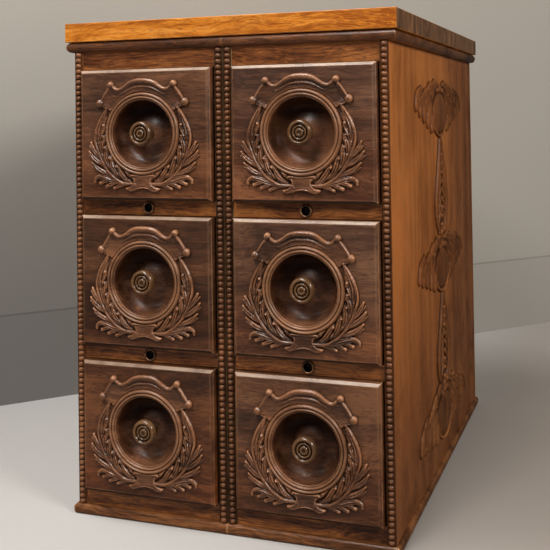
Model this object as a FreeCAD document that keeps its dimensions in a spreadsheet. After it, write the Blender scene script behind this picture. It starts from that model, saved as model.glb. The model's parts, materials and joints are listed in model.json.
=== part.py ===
import FreeCAD, Part
import os
import math
import Sketcher

"""Six-drawer oak cabinet: two banks of three drawers joined under one plank top,
with a keyed tongue lock in each divider rail.

Frame: millimetres, +Z up, +X to the right seen from the front, -Y towards the user.
Origin: middle of the footprint of the whole cabinet, on the floor.
"""

Vector = FreeCAD.Vector
doc = FreeCAD.newDocument("drawer_cabinet")

# ---------------------------------------------------------------- driving dimensions
# Round things are given by their radius. A name ending in _half is half of a width.
SIZES = {
    # case: half width, half the gap between the banks, and the front and rear of the walls
    "case_half": 165.0, "half_gap": 0.15, "side_thk": 9.2,
    "stile_y": -205.0, "rear_y": 219.0,
    "side_low": 10.0, "side_high": 462.5,
    # base, cap and top boards, with how far each one overhangs the walls
    "base_thk": 10.0, "base_over": 3.4, "base_round": 3.2,
    "cap_thk": 10.5, "cap_over": 7.5, "cap_front": 3.6, "cap_round": 5.0,
    "top_thk": 19.0, "top_over": 8.5, "top_front": 4.0, "top_rear": 1.5, "top_ease": 0.8,
    # back panels, front rails and runners
    "panel_thk": 6.0, "panel_front": 208.0, "panel_groove": 4.0,
    "rail_set": 1.5, "rail_deep": 22.0, "rail_housing": 3.0, "rail_clear": 0.8,
    "runner_wide": 12.0, "runner_tall": 12.0, "runner_clear": 0.2,
    # screws up through the caps: distances from the middle of the cabinet, then the holes
    "screw_far": 130.0, "screw_near": 35.0, "screw_front": 150.0, "screw_rear": 160.0,
    "cap_hole": 2.1, "cap_sink": 4.2, "sink_deep": 2.1, "pilot_hole": 2.0, "pilot_deep": 12.0,
    # screws that join the two inner walls
    "join_low": 100.0, "join_high": 380.0, "join_front": 120.0, "join_rear": 140.0,
    "join_hole": 2.0, "join_sink": 4.1,
    # the case screws themselves
    "head_out": 4.0, "head_neck": 2.0, "head_tall": 2.0,
    "shank_out": 1.95, "shank_start": 0.2, "cap_bite": 11.0, "join_bite": 7.0,
    # drawer fronts
    "front_wide": 143.0, "front_tall": 128.5, "front_thk": 22.0, "front_proud": 8.0,
    "front_chamfer": 2.6,
    "drawer_low_top": 315.0, "drawer_low_mid": 170.75, "drawer_low_bot": 26.5,
    # drawer boxes
    "wall_thk": 8.0, "wall_tall": 108.0, "wall_lap": 8.0, "wall_rear": 203.0,
    "back_tall": 94.0, "floor_thk": 4.0, "floor_up": 6.0, "floor_groove": 3.0,
    "floor_lap": 4.0,
    # pulls and the screws behind them
    "cup_up": 1.0, "cup_bore": 34.2, "cup_body": 34.1, "cup_deep": 19.5, "cup_hole": 2.1,
    "bore_over": 1.0, "ring_out": 40.2, "screw_shank": 1.8, "screw_in": 4.0,
    "screw_past": 0.5, "screw_head": 4.0, "screw_taper": 1.2, "screw_head_tall": 2.0,
    # lock barrels and spindles
    "barrel_out": 4.95, "barrel_hole": 5.0, "barrel_flange": 6.4,
    "key_bore": 3.85, "key_deep": 4.5, "spindle_out": 3.0, "spindle_bore": 3.05,
    "spindle_gap": 0.1, "key_slot_wide": 1.3, "key_slot_deep": 2.0, "key_slot_over": 1.0,
    # lock tongues, their slots in the rails and their mortises in the drawer fronts
    "tongue_half": 11.5, "tongue_wide": 5.0, "tongue_thk": 2.2, "tongue_at": 8.0,
    "slot_half": 12.2, "slot_clear": 0.3,
    "pivot_out": 2.5, "pivot_bore": 2.55, "pivot_long": 6.8, "pivot_lap": 1.0,
    "pivot_clear": 0.8,
    "mortise_half": 9.5, "mortise_deep": 5.0, "mortise_clear": 0.5,
    # mouldings and carvings
    "bead_pitch": 5.45, "bead_out": 3.1, "bead_waist": 1.9, "bead_neck": 0.6,
    "relief": 2.6, "side_relief": 2.4,
}
sheet = doc.addObject("Spreadsheet::Sheet", "params")
for row, (alias, size) in enumerate(SIZES.items(), start=1):
    sheet.set("A%d" % row, alias)
    sheet.set("B%d" % row, str(size))
    sheet.setAlias("B%d" % row, alias)
doc.recompute()


# ---------------------------------------------------------------- sums of sizes
# Places and sizes are written as sums of names and numbers, without brackets or a
# leading sign, so that one text serves both as an expression and as a number.
def tokens(text):
    """The names, numbers and signs of a sum, in order."""
    for sign in "+-*/":
        text = text.replace(sign, " %s " % sign)
    return text.split()


def expression(text):
    """The sum as a document expression that reads the sheet."""
    return "".join("params." + word if word in SIZES else word for word in tokens(text))


def value(text):
    """The sum as a number: * and / first, then + and -."""
    words = tokens(text)
    numbers = [SIZES[word] if word in SIZES else float(word) for word in words[::2]]
    terms = [numbers[0]]
    for sign, number in zip(words[1::2], numbers[1:]):
        if sign == "*":
            terms[-1] *= number
        elif sign == "/":
            terms[-1] /= number
        else:
            terms.append(number if sign == "+" else -number)
    return sum(terms)


# ---------------------------------------------------------------- document helpers
NODES = {}          # exported pieces by label
count = [0]


def uid(stem):
    count[0] += 1
    return "%s_%03d" % (stem, count[0])


def name_node(obj, label):
    """Label a finished piece and list it for export."""
    obj.Label = label
    NODES[label] = obj


def bind(obj, **sizes):
    for prop, size in sizes.items():
        obj.setExpression(prop, expression(size))


def place(obj, x, y, z):
    for axis, size in (("x", x), ("y", y), ("z", z)):
        obj.setExpression(".Placement.Base." + axis, expression(size))


def turn_to(obj, axis):
    """Turn a piece that stands along +Z so that it runs along the named axis."""
    turns = {
        "x": FreeCAD.Rotation(Vector(0, 1, 0), 90),
        "y": FreeCAD.Rotation(Vector(1, 0, 0), -90),
        "z": FreeCAD.Rotation(),
    }
    obj.Placement = FreeCAD.Placement(Vector(0, 0, 0), turns[axis])


def box(x, y, z, wide, deep, tall, stem="block"):
    """A square-edged block from its low corner."""
    block = doc.addObject("Part::Box", uid(stem))
    bind(block, Length=wide, Width=deep, Height=tall)
    place(block, x, y, z)
    return block


def rod(x, y, z, radius, length, axis="y", stem="rod"):
    """A round bar from (x, y, z) along an axis."""
    bar = doc.addObject("Part::Cylinder", uid(stem))
    bind(bar, Radius=radius, Height=length)
    turn_to(bar, axis)
    place(bar, x, y, z)
    return bar


def cone(x, y, z, start_radius, end_radius, length, axis="z", stem="cone"):
    """A cut-off cone from (x, y, z) along an axis."""
    taper = doc.addObject("Part::Cone", uid(stem))
    bind(taper, Radius1=start_radius, Radius2=end_radius, Height=length)
    turn_to(taper, axis)
    place(taper, x, y, z)
    return taper


def group(shapes, stem="group"):
    compound = doc.addObject("Part::Compound", uid(stem))
    compound.Links = shapes
    return compound


def fuse(shapes, stem="fuse"):
    fusion = doc.addObject("Part::MultiFuse", uid(stem))
    fusion.Shapes = shapes
    return fusion


def cut(base, tool, stem="cut"):
    result = doc.addObject("Part::Cut", uid(stem))
    result.Base = base
    result.Tool = tool
    return result


def feature(name, shape, label):
    """A fixed shape as a named piece."""
    obj = doc.addObject("Part::Feature", name)
    obj.Shape = shape
    name_node(obj, label)


# ---------------------------------------------------------------- bodies from sketches
def body_with_sketch(stem, role):
    """A new body with an empty sketch on one of its origin planes."""
    body = doc.addObject("PartDesign::Body", uid(stem))
    sketch = body.newObject("Sketcher::SketchObject", uid("outline"))
    plane = [f for f in body.Origin.OriginFeatures if f.Role == role][0]
    sketch.AttachmentSupport = (plane, [""])
    sketch.MapMode = "FlatFace"
    return body, sketch


def closed_outline(sketch, points):
    """Straight lines through the points and back to the first."""
    total = len(points)
    for i in range(total):
        start, end = points[i], points[(i + 1) % total]
        line = Part.LineSegment(Vector(start[0], start[1], 0), Vector(end[0], end[1], 0))
        sketch.addGeometry(line, False)
    for i in range(total):
        sketch.addConstraint(Sketcher.Constraint("Coincident", i, 2, (i + 1) % total, 1))


def rectangle(sketch, wide, tall):
    """A rectangle centred on the origin, with its two sizes bound to the sheet."""
    x, y = value(wide) / 2, value(tall) / 2
    closed_outline(sketch, [(-x, -y), (x, -y), (x, y), (-x, y)])
    sketch.addConstraint(Sketcher.Constraint("Horizontal", 0))
    sketch.addConstraint(Sketcher.Constraint("Horizontal", 2))
    sketch.addConstraint(Sketcher.Constraint("Vertical", 1))
    sketch.addConstraint(Sketcher.Constraint("Vertical", 3))
    # opposite corners stay symmetric about the origin
    sketch.addConstraint(Sketcher.Constraint("Symmetric", 0, 1, 1, 2, -1, 1))
    for name, kind, line, size in (("wide", "DistanceX", 0, wide), ("tall", "DistanceY", 1, tall)):
        index = sketch.addConstraint(Sketcher.Constraint(kind, line, 1, line, 2, value(size)))
        sketch.renameConstraint(index, name)
        sketch.setExpression("Constraints." + name, expression(size))


def padded(stem, role, wide, tall, thick):
    """A body with a rectangle on one origin plane, padded to a thickness."""
    body, sketch = body_with_sketch(stem, role)
    rectangle(sketch, wide, tall)
    pad = body.newObject("PartDesign::Pad", uid("pad"))
    pad.Profile = sketch
    bind(pad, Length=thick)
    doc.recompute()
    return body, pad


def board(stem, wide, deep, thick, x, y, z, rounds, round_by, side=1.0):
    """A plank lying flat, with the top and bottom edges of the sides in rounds eased."""
    body, pad = padded(stem, "XY_Plane", wide, deep, thick)
    half_wide, half_deep, half_thick = value(wide) / 2, value(deep) / 2, value(thick) / 2
    lines = {
        "front": ("y", -half_deep),
        "rear": ("y", half_deep),
        "outer": ("x", side * half_wide),
        "inner": ("x", -side * half_wide),
    }
    wanted = []
    for i, edge in enumerate(pad.Shape.Edges, start=1):
        centre = edge.CenterOfMass
        upright = abs(centre.z - half_thick) < 1e-6
        on_line = any(abs(getattr(centre, lines[name][0]) - lines[name][1]) < 1e-6
                      for name in rounds)
        if on_line and not upright:
            wanted.append("Edge%d" % i)
    fillet = body.newObject("PartDesign::Fillet", uid("fillet"))
    fillet.Base = (pad, wanted)
    bind(fillet, Radius=round_by)
    place(body, x, y, z)
    return body


def turned(stem, profile, x, y, z):
    """A piece revolved about a front-to-rear axis.

    The profile is (radius, distance from y towards the user).
    """
    body, sketch = body_with_sketch(stem, "XY_Plane")
    closed_outline(sketch, [(radius, -proud) for radius, proud in profile])
    revolution = body.newObject("PartDesign::Revolution", uid("turn"))
    revolution.Profile = sketch
    revolution.ReferenceAxis = (sketch, ["V_Axis"])
    revolution.Angle = 360.0
    place(body, x, y, z)
    return body


def arc_points(centre_x, centre_y, radius, start, end, steps=8):
    """Points along an arc, with its angles in degrees."""
    angles = [math.radians(start + (end - start) * i / steps) for i in range(steps + 1)]
    return [(centre_x + radius * math.cos(a), centre_y + radius * math.sin(a)) for a in angles]


# ---------------------------------------------------------------- places in the case
# Per bank: side is the sign of X, out is the sign that leads outwards in a sum,
# outer and inner are the low x of those walls, opening is the low x between them.
BANKS = {
    "left": {
        "side": -1.0, "out": "-",
        "outer": "0-case_half", "inner": "0-half_gap-side_thk",
        "opening": "0-case_half+side_thk", "middle": "0-case_half/2-half_gap/2",
        "screw_x": ("0-screw_far", "0-screw_near"),
    },
    "right": {
        "side": 1.0, "out": "+",
        "outer": "case_half-side_thk", "inner": "half_gap",
        "opening": "half_gap+side_thk", "middle": "case_half/2+half_gap/2",
        "screw_x": ("screw_near", "screw_far"),
    },
}
ROWS = {"top": "drawer_low_top", "middle": "drawer_low_mid", "bottom": "drawer_low_bot"}
OPEN_WIDE = "case_half-half_gap-side_thk-side_thk"
BANK_WIDE = "case_half-half_gap"
CASE_DEEP = "rear_y-stile_y"
SIDE_TALL = "side_high-side_low"

# low z and height of each front rail
RAILS = {
    "low": ("side_low", "drawer_low_bot-rail_clear-side_low"),
    "lower": ("drawer_low_bot+front_tall+rail_clear",
              "drawer_low_mid-drawer_low_bot-front_tall-rail_clear-rail_clear"),
    "upper": ("drawer_low_mid+front_tall+rail_clear",
              "drawer_low_top-drawer_low_mid-front_tall-rail_clear-rail_clear"),
    "high": ("drawer_low_top+front_tall+rail_clear",
             "side_high-drawer_low_top-front_tall-rail_clear"),
}
# each lock is midway between the two drawer fronts it stands between
LOCK_Z = {
    "lower": "drawer_low_bot/2+front_tall/2+drawer_low_mid/2",
    "upper": "drawer_low_mid/2+front_tall/2+drawer_low_top/2",
}
LOCKS = [(bank, spot["middle"], level, z)
         for bank, spot in BANKS.items() for level, z in LOCK_Z.items()]

CAP_SCREWS = {bank: [(x, y) for x in spot["screw_x"] for y in ("0-screw_front", "screw_rear")]
              for bank, spot in BANKS.items()}
JOIN_SCREWS = [(y, z) for z in ("join_low", "join_high") for y in ("0-join_front", "join_rear")]


# ---------------------------------------------------------------- top, cap and base boards
def top_board():
    """The plank over both banks, with blind pilot holes from below."""
    z = "side_high+cap_thk"
    plank = board("top_plank", "case_half*2+top_over*2", CASE_DEEP + "+top_front+top_rear",
                  "top_thk", "0", "stile_y/2-top_front/2+rear_y/2+top_rear/2", z,
                  ("front", "outer", "inner", "rear"), "top_ease")
    pilots = [rod(x, y, z, "pilot_hole", "pilot_deep", "z")
              for spots in CAP_SCREWS.values() for x, y in spots]
    name_node(cut(plank, group(pilots)), "top_board")


def cap_board(bank, spot):
    """The board on top of one bank, countersunk from below."""
    cap = board("cap", BANK_WIDE + "+cap_over", CASE_DEEP + "+cap_front", "cap_thk",
                spot["middle"] + spot["out"] + "cap_over/2",
                "stile_y/2-cap_front/2+rear_y/2", "side_high",
                ("front", "outer"), "cap_round", spot["side"])
    holes = [rod(x, y, "side_high", "cap_hole", "cap_thk", "z") for x, y in CAP_SCREWS[bank]]
    holes += [cone(x, y, "side_high", "cap_sink", "cap_hole", "sink_deep", "z")
              for x, y in CAP_SCREWS[bank]]
    name_node(cut(cap, fuse(holes)), bank + "_cap_board")


def base_board(bank, spot):
    """The board under one bank."""
    base = board("base", BANK_WIDE + "+base_over", CASE_DEEP + "+base_over", "base_thk",
                 spot["middle"] + spot["out"] + "base_over/2",
                 "stile_y/2-base_over/2+rear_y/2", "0",
                 ("front", "outer"), "base_round", spot["side"])
    name_node(base, bank + "_base_board")


# ---------------------------------------------------------------- walls and back panels
def side_wall(bank, spot, which):
    """An upright wall, housed for the rails and grooved for the back panel."""
    x = spot[which]
    blank = box(x, "stile_y", "side_low", "side_thk", CASE_DEEP, SIDE_TALL, "wall")
    # the face towards the drawers is on +X for the leftmost wall of each bank
    faces_plus = (spot["side"] < 0) == (which == "outer")
    face = x + "+side_thk-" if faces_plus else None
    housing_x = face + "rail_housing" if faces_plus else x
    groove_x = face + "panel_groove" if faces_plus else x
    tools = [box(housing_x, "stile_y+rail_set", z, "rail_housing", "rail_deep", tall, "housing")
             for z, tall in RAILS.values()]
    tools.append(box(groove_x, "panel_front", "side_low", "panel_groove", "panel_thk",
                     SIDE_TALL, "groove"))
    if which == "inner":
        for y, z in JOIN_SCREWS:
            tools.append(rod(x, y, z, "join_hole", "side_thk", "x"))
            # screw heads sit in the left bank
            if bank == "left":
                tools.append(cone(x, y, z, "join_sink", "join_hole", "sink_deep", "x"))
        tool = fuse(tools)
    else:
        tool = group(tools)
    name_node(cut(blank, tool), "%s_%s_side" % (bank, which))


def back_panel(bank, spot):
    panel = box(spot["opening"] + "-panel_groove", "panel_front", "side_low",
                OPEN_WIDE + "+panel_groove*2", "panel_thk", SIDE_TALL, "panel")
    name_node(panel, bank + "_back_panel")


# ---------------------------------------------------------------- rails and runners
def lock_hollow(x, z, rail_z, rail_tall):
    """Barrel hole, pivot bore and tongue slot of one lock, as one tool."""
    return fuse([
        rod(x, "stile_y+rail_set", z, "barrel_hole", "tongue_at-rail_set"),
        rod(x, "stile_y+tongue_at", z, "pivot_bore", "tongue_thk+pivot_long+pivot_clear"),
        box(x + "-slot_half", "stile_y+tongue_at-slot_clear", rail_z,
            "slot_half*2", "tongue_thk+slot_clear*2", rail_tall, "slot"),
    ])


def front_rails():
    """Four rails per bank; the two dividers are hollowed for their locks."""
    rails = []
    for spot in BANKS.values():
        for level, (z, tall) in RAILS.items():
            rail = box(spot["opening"] + "-rail_housing", "stile_y+rail_set", z,
                       OPEN_WIDE + "+rail_housing*2", "rail_deep", tall, "rail")
            if level in LOCK_Z:
                rail = cut(rail, lock_hollow(spot["middle"], LOCK_Z[level], z, tall))
            rails.append(rail)
    name_node(group(rails, "rails"), "front_rails")


def drawer_runners():
    """A pair of runners under each drawer, from the rails to the back panel."""
    runners = []
    for spot in BANKS.values():
        left_x = spot["opening"]
        right_x = left_x + "+" + OPEN_WIDE + "-runner_wide"
        for low in ROWS.values():
            for x in (left_x, right_x):
                runners.append(box(x, "stile_y+rail_set+rail_deep",
                                   low + "-runner_clear-runner_tall", "runner_wide",
                                   "panel_front-stile_y-rail_set-rail_deep",
                                   "runner_tall", "runner"))
    name_node(group(runners, "runners"), "drawer_runners")


# ---------------------------------------------------------------- locks
def lock_barrels():
    """Flanged keyhole linings, with a smaller bore behind for the spindle."""
    bore, flange, outside = value("key_bore"), value("barrel_flange"), value("barrel_out")
    spindle = value("spindle_bore")
    seat, step, end = value("rail_set"), value("key_deep"), value("tongue_at-slot_clear")
    # (radius, distance in front of the stile face), from the rounded lip inwards
    profile = [
        (bore, -0.2), (bore + 0.75, 0.3), (flange - 0.8, 0.1), (flange, -0.7),
        (flange, -seat), (outside, -seat), (outside, -end),
        (spindle, -end), (spindle, -step), (bore, -step),
    ]
    barrels = [turned("barrel", profile, x, "stile_y", z) for _, x, _, z in LOCKS]
    name_node(group(barrels, "barrels"), "lock_barrels")


def lock_tongue(bank, x, level, z):
    """Slotted spindle, flat tongue and rear pivot in one."""
    spindle = rod(x, "stile_y+key_deep+spindle_gap", z, "spindle_out", "tongue_at-key_deep",
                  stem="spindle")
    bar = box(x + "-tongue_half", "stile_y+tongue_at", z + "-tongue_wide/2",
              "tongue_half*2", "tongue_thk", "tongue_wide", "tongue")
    pivot = rod(x, "stile_y+tongue_at+pivot_lap", z, "pivot_out",
                "tongue_thk+pivot_long-pivot_lap", stem="pivot")
    slot = box(x + "-key_slot_wide/2", "stile_y+key_deep-key_slot_over",
               z + "-spindle_out-key_slot_over", "key_slot_wide",
               "key_slot_deep+key_slot_over+spindle_gap",
               "spindle_out*2+key_slot_over*2", "key_slot")
    lock = cut(fuse([spindle, bar, pivot], "lock"), slot)
    name_node(lock, "%s_%s_lock_tongue" % (bank, level))


# ---------------------------------------------------------------- beaded mouldings
def bead_strip(x):
    """An upright half-round beaded rod on the front edge of a wall."""
    big, waist, neck = value("bead_out"), value("bead_waist"), value("bead_neck") / 2
    low, high = value("side_low"), value("side_high")
    number = int((high - low) / value("bead_pitch"))
    step = (high - low) / number

    def line(start_x, start_z, end_x, end_z):
        return Part.LineSegment(Vector(start_x, 0, start_z), Vector(end_x, 0, end_z)).toShape()

    # an arc over each bead, with a short straight neck at both its ends
    edges = []
    for i in range(number):
        start, end = low + i * step, low + (i + 1) * step
        edges.append(line(waist, start, waist, start + neck))
        edges.append(Part.Arc(Vector(waist, 0, start + neck), Vector(big, 0, start + step / 2),
                              Vector(waist, 0, end - neck)).toShape())
        edges.append(line(waist, end - neck, waist, end))
    edges.append(line(waist, high, 0, high))
    edges.append(line(0, high, 0, low))
    edges.append(line(0, low, waist, low))
    face = Part.Face(Part.Wire(Part.__sortEdges__(edges)))
    solid = face.revolve(Vector(0, 0, 0), Vector(0, 0, 1), -180)
    # a backwards turn can leave the solid inside out
    if solid.Volume < 0:
        solid.reverse()
    solid.translate(Vector(x, value("stile_y"), 0))
    return solid


def bead_mouldings():
    """One strip down the middle of each wall's front edge."""
    centres = (value("case_half-side_thk/2"), value("half_gap+side_thk/2"))
    strips = [bead_strip(x) for x in sorted(side * c for side in (-1, 1) for c in centres)]
    feature("bead_strips", Part.Compound(strips), "bead_mouldings")


# ---------------------------------------------------------------- screws
def case_screw(x, y, z, length, axis):
    """A countersunk screw with its head at (x, y, z)."""
    head = cone(x, y, z, "head_out", "head_neck", "head_tall", axis)
    start = {"x": x, "y": y, "z": z}
    start[axis] += "+shank_start"
    shank = rod(start["x"], start["y"], start["z"], "shank_out", length, axis)
    return fuse([head, shank], "screw")


def case_screws():
    screws = [case_screw(x, y, "side_high", "cap_thk+cap_bite", "z")
              for spots in CAP_SCREWS.values() for x, y in spots]
    screws += [case_screw(BANKS["left"]["inner"], y, z, "side_thk+half_gap*2+join_bite", "x")
               for y, z in JOIN_SCREWS]
    name_node(group(screws, "screws"), "case_screws")


# ---------------------------------------------------------------- carvings
def mirrored(points):
    """A half outline that starts and ends on u = 0 or beside it, closed by its mirror image."""
    return points + [(-u, z) for u, z in reversed(points) if abs(u) > 1e-9]


def prism(outline, to_space, depth):
    """A closed outline of (u, z), put into space and extruded by a vector."""
    wire = Part.makePolygon([to_space(u, z) for u, z in outline + outline[:1]])
    return Part.Face(wire).extrude(depth)


# side carvings: right half outlines, (distance from the wall's middle, height from the centre)
CLUSTER = [
    (0, 32), (14, 33), (30, 30), (44, 31), (56, 23), (70, 19), (84, 12), (104, 8),
    (122, 2), (108, -3), (96, -6), (90, -3), (78, -11), (66, -12), (60, -9), (48, -17),
    (36, -19), (26, -22), (14, -29), (0, -33),
]
HUSK = [
    (0, 55), (9, 50), (7, 38), (13, 24), (19, 8), (28, -14), (31, -30), (22, -44),
    (12, -38), (8, -52), (0, -58),
]
# outline, height of its centre, and how far it droops per millimetre outwards
SIDE_PIECES = [
    (CLUSTER, 406.0, 0.0), (CLUSTER, 230.0, 0.05), (CLUSTER, 62.0, 0.22),
    (HUSK, 318.0, 0.0), (HUSK, 146.0, 0.0),
]
UPPER_FROM = 25         # outline points from this height up droop less
UPPER_DROOP = 0.4       # their share of the droop


def side_carving(bank, side):
    """Three clusters and two husks down the outside of an outer wall."""
    wall_x = side * value("case_half")
    middle_y = (value("stile_y") + value("rear_y")) / 2
    depth = Vector(side * value("side_relief"), 0, 0)

    def to_space(u, z):
        return Vector(wall_x, middle_y + u, z)

    pieces = []
    for outline, centre, droop in SIDE_PIECES:
        half = [(u, centre + z - droop * u * (1 if z < UPPER_FROM else UPPER_DROOP))
                for u, z in outline]
        pieces.append(prism(mirrored(half), to_space, depth))
    shape = pieces[0].multiFuse(pieces[1:]).removeSplitter()
    feature(uid("side_carving"), shape, bank + "_side_carving")


# drawer carvings: (x, z) from the centre of the pull. CREST and TABLET are right halves,
# WREATH is the whole spray on the right.
CREST = [
    (0, 52), (7, 51.6), (14, 49.6), (20, 45.6), (25, 42.8), (29.5, 43.2), (32.5, 46.5),
    (36.5, 46.0), (41, 38.5), (45.5, 31.5), (48.5, 28.0), (46, 24.6), (41, 25.0),
    (36, 24.0), (28, 18.0), (0, 18.0),
]
WREATH = [
    (34, 26), (39.5, 24.5), (44.5, 16), (48.5, 8), (52, -2), (55.5, -8.0), (56.0, -12),
    (58.5, -16), (57.0, -21), (58.0, -26), (54.5, -31), (56.0, -36), (52.0, -41),
    (52.5, -46.5), (47, -49.5), (41.0, -53.0), (34, -52.0), (26, -54.0), (16, -51.0),
    (8, -50.5), (8, -36), (26, -26), (34, -8),
]
TABLET = [
    (0, -38), (12, -38), (14.5, -43), (12.5, -46.5), (10.0, -50), (12.0, -53),
    (18.5, -55), (19.0, -57.5), (12.5, -59.8), (8.0, -57.5), (0, -56.5),
]
BALLS = [(34.3, 47.3, 3.0), (47.0, 28.6, 3.2)]      # x, z, radius of the ball ends on the right
BALL_PROUD = 0.6                                    # ball centres in front of the drawer face
RING_CLEAR = 0.1                                    # gap round the pull's ring


def front_carving(centre_x, centre_z):
    """Crest, two leaf sprays, a tablet and four ball ends round the pull."""
    face_y = value(FRONT_FACE)
    depth = Vector(0, -value("relief"), 0)

    def to_space(u, z):
        return Vector(centre_x + u, face_y, centre_z + z)

    left_wreath = [(-u, z) for u, z in reversed(WREATH)]
    pieces = [prism(outline, to_space, depth)
              for outline in (mirrored(CREST), WREATH, left_wreath, mirrored(TABLET))]
    for u, z, radius in BALLS:
        for side in (-1, 1):
            centre = Vector(centre_x + side * u, face_y - BALL_PROUD, centre_z + z)
            pieces.append(Part.makeSphere(radius, centre))
    shape = pieces[0].multiFuse(pieces[1:])
    # clear the place of the ring, and everything behind the drawer face
    ring = Part.makeCylinder(value("ring_out") + RING_CLEAR, 20,
                             Vector(centre_x, face_y - 10, centre_z), Vector(0, 1, 0))
    behind = Part.makeBox(200, 20, 200, Vector(centre_x - 100, face_y, centre_z - 100))
    shape = shape.cut(ring.fuse(behind)).removeSplitter()
    return Part.Compound(shape.Solids)


# ---------------------------------------------------------------- drawers
FRONT_FACE = "stile_y-front_proud"
FRONT_BACK = FRONT_FACE + "+front_thk"
BOX_DEEP = "wall_rear-stile_y+front_proud-front_thk"     # behind the drawer front
FLOOR_WIDE = "front_wide-wall_thk*2+floor_groove*2"

# turned profiles: (radius, distance in front of the drawer face)
CUP = (
    [(value("cup_hole"), -value("cup_deep")), (value("cup_body"), -value("cup_deep")),
     (value("cup_body"), 0.0), (value("ring_out"), 0.0)]
    + arc_points(37.9, 1.9, 2.3, -20, 200)      # outer bead of the ring
    + [(35.6, 1.2)]
    + arc_points(33.6, 1.9, 1.75, 0, 180)       # inner bead of the ring
    + [(31.4, -2.0), (30.6, -5.0), (29.2, -8.2), (27.0, -11.2), (24.6, -12.9),
       (22.6, -13.2), (20.6, -12.2), (18.6, -10.6), (16.2, -9.2), (13.0, -8.3),
       (9.0, -8.0), (value("cup_hole"), -8.0)]
)
KNOB = [
    (0.0, -3.0), (1.9, -3.0), (1.9, -8.0), (7.6, -8.0), (7.0, -6.6), (5.9, -5.0),
    (5.4, -3.2), (5.9, -1.6), (7.6, -0.4), (10.2, 0.9), (11.3, 2.6), (11.3, 4.4),
    (10.4, 6.3), (8.9, 7.3), (7.6, 7.5), (6.7, 6.9), (6.1, 6.1), (5.3, 6.1),
    (4.8, 6.8), (4.1, 6.9), (3.5, 6.2), (2.7, 6.1), (2.1, 6.8), (1.2, 7.3), (0.0, 7.4),
]


def drawer_front(x, low, row):
    """A chamfered front, bored for the pull and cut for walls, floor and lock tongues."""
    body, pad = padded("front", "XZ_Plane", "front_wide", "front_tall", "front_thk")
    # the pad grows towards the user, so its front face is at its lowest y
    front_y = pad.Shape.BoundBox.YMin
    wanted = ["Edge%d" % i for i, edge in enumerate(pad.Shape.Edges, start=1)
              if abs(edge.BoundBox.YMax - front_y) < 1e-6]
    chamfer = body.newObject("PartDesign::Chamfer", uid("chamfer"))
    chamfer.Base = (pad, wanted)
    bind(chamfer, Size="front_chamfer")
    middle_z = low + "+front_tall/2"
    place(body, x, FRONT_BACK, middle_z)

    pull_z = middle_z + "+cup_up"
    tools = [
        rod(x, FRONT_FACE + "-bore_over", pull_z, "cup_bore", "cup_deep+bore_over"),
        rod(x, FRONT_FACE, pull_z, "cup_hole", "front_thk"),
    ]
    for lap_x in (x + "-front_wide/2", x + "+front_wide/2-wall_thk"):
        tools.append(box(lap_x, FRONT_BACK + "-wall_lap", low,
                         "wall_thk", "wall_lap", "wall_tall", "lap"))
    tools.append(box(x + "-front_wide/2+wall_thk-floor_groove", FRONT_BACK + "-floor_lap",
                     low + "+floor_up", FLOOR_WIDE, "floor_lap", "floor_thk", "groove"))
    # a mortise wherever a lock lies below or above the drawer
    mortises = []
    if row != "bottom":
        mortises.append(low)
    if row != "top":
        mortises.append(low + "+front_tall-mortise_deep")
    for z in mortises:
        tools.append(box(x + "-mortise_half", "stile_y+tongue_at-mortise_clear", z,
                         "mortise_half*2", "tongue_thk+mortise_clear*2", "mortise_deep",
                         "mortise"))
    return cut(body, fuse(tools))


def pull_knob(x, z):
    """The turned knob and the screw that holds it from inside the drawer."""
    knob = turned("knob", KNOB, x, FRONT_FACE, z)
    screw = fuse([
        rod(x, FRONT_FACE + "+screw_in", z, "screw_shank", "front_thk-screw_in+screw_past"),
        cone(x, FRONT_BACK, z, "screw_head", "screw_head-screw_taper", "screw_head_tall", "y"),
    ], "screw")
    return group([knob, screw], "knob_set")


def drawer_box(x, low):
    """Two walls grooved for the floor, and a back that stands on the floor."""
    y, deep = FRONT_BACK + "-wall_lap", BOX_DEEP + "+wall_lap"
    left_x, right_x = x + "-front_wide/2", x + "+front_wide/2-wall_thk"
    parts = []
    for wall_x, groove_x in ((left_x, left_x + "+wall_thk-floor_groove"), (right_x, right_x)):
        wall = box(wall_x, y, low, "wall_thk", deep, "wall_tall", "drawer_wall")
        groove = box(groove_x, y, low + "+floor_up", "floor_groove", deep, "floor_thk", "groove")
        parts.append(cut(wall, groove))
    parts.append(box(left_x + "+wall_thk", "wall_rear-wall_thk", low + "+floor_up+floor_thk",
                     "front_wide-wall_thk*2", "wall_thk", "back_tall", "drawer_back"))
    return group(parts, "drawer_box")


def drawer_floor(x, low):
    return box(x + "-front_wide/2+wall_thk-floor_groove", FRONT_BACK + "-floor_lap",
               low + "+floor_up", FLOOR_WIDE, BOX_DEEP + "+floor_lap", "floor_thk", "floor")


def drawer(bank, row, x, low):
    name = "%s_%s_drawer" % (bank, row)
    pull_z = low + "+front_tall/2+cup_up"
    name_node(drawer_front(x, low, row), name + "_front")
    feature(uid("carving"), front_carving(value(x), value(pull_z)), name + "_carving")
    name_node(turned("cup", CUP, x, FRONT_FACE, pull_z), name + "_pull_cup")
    name_node(pull_knob(x, pull_z), name + "_knob")
    name_node(drawer_box(x, low), name + "_box")
    name_node(drawer_floor(x, low), name + "_floor")


# ---------------------------------------------------------------- build
top_board()
for bank, spot in BANKS.items():
    cap_board(bank, spot)
    base_board(bank, spot)
for bank, spot in BANKS.items():
    for which in ("outer", "inner"):
        side_wall(bank, spot, which)
for bank, spot in BANKS.items():
    back_panel(bank, spot)
front_rails()
drawer_runners()
lock_barrels()
for bank, x, level, z in LOCKS:
    lock_tongue(bank, x, level, z)
bead_mouldings()
case_screws()
for bank, spot in BANKS.items():
    side_carving(bank, spot["side"])
for bank, spot in BANKS.items():
    for row, low in ROWS.items():
        drawer(bank, row, spot["middle"], low)

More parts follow.
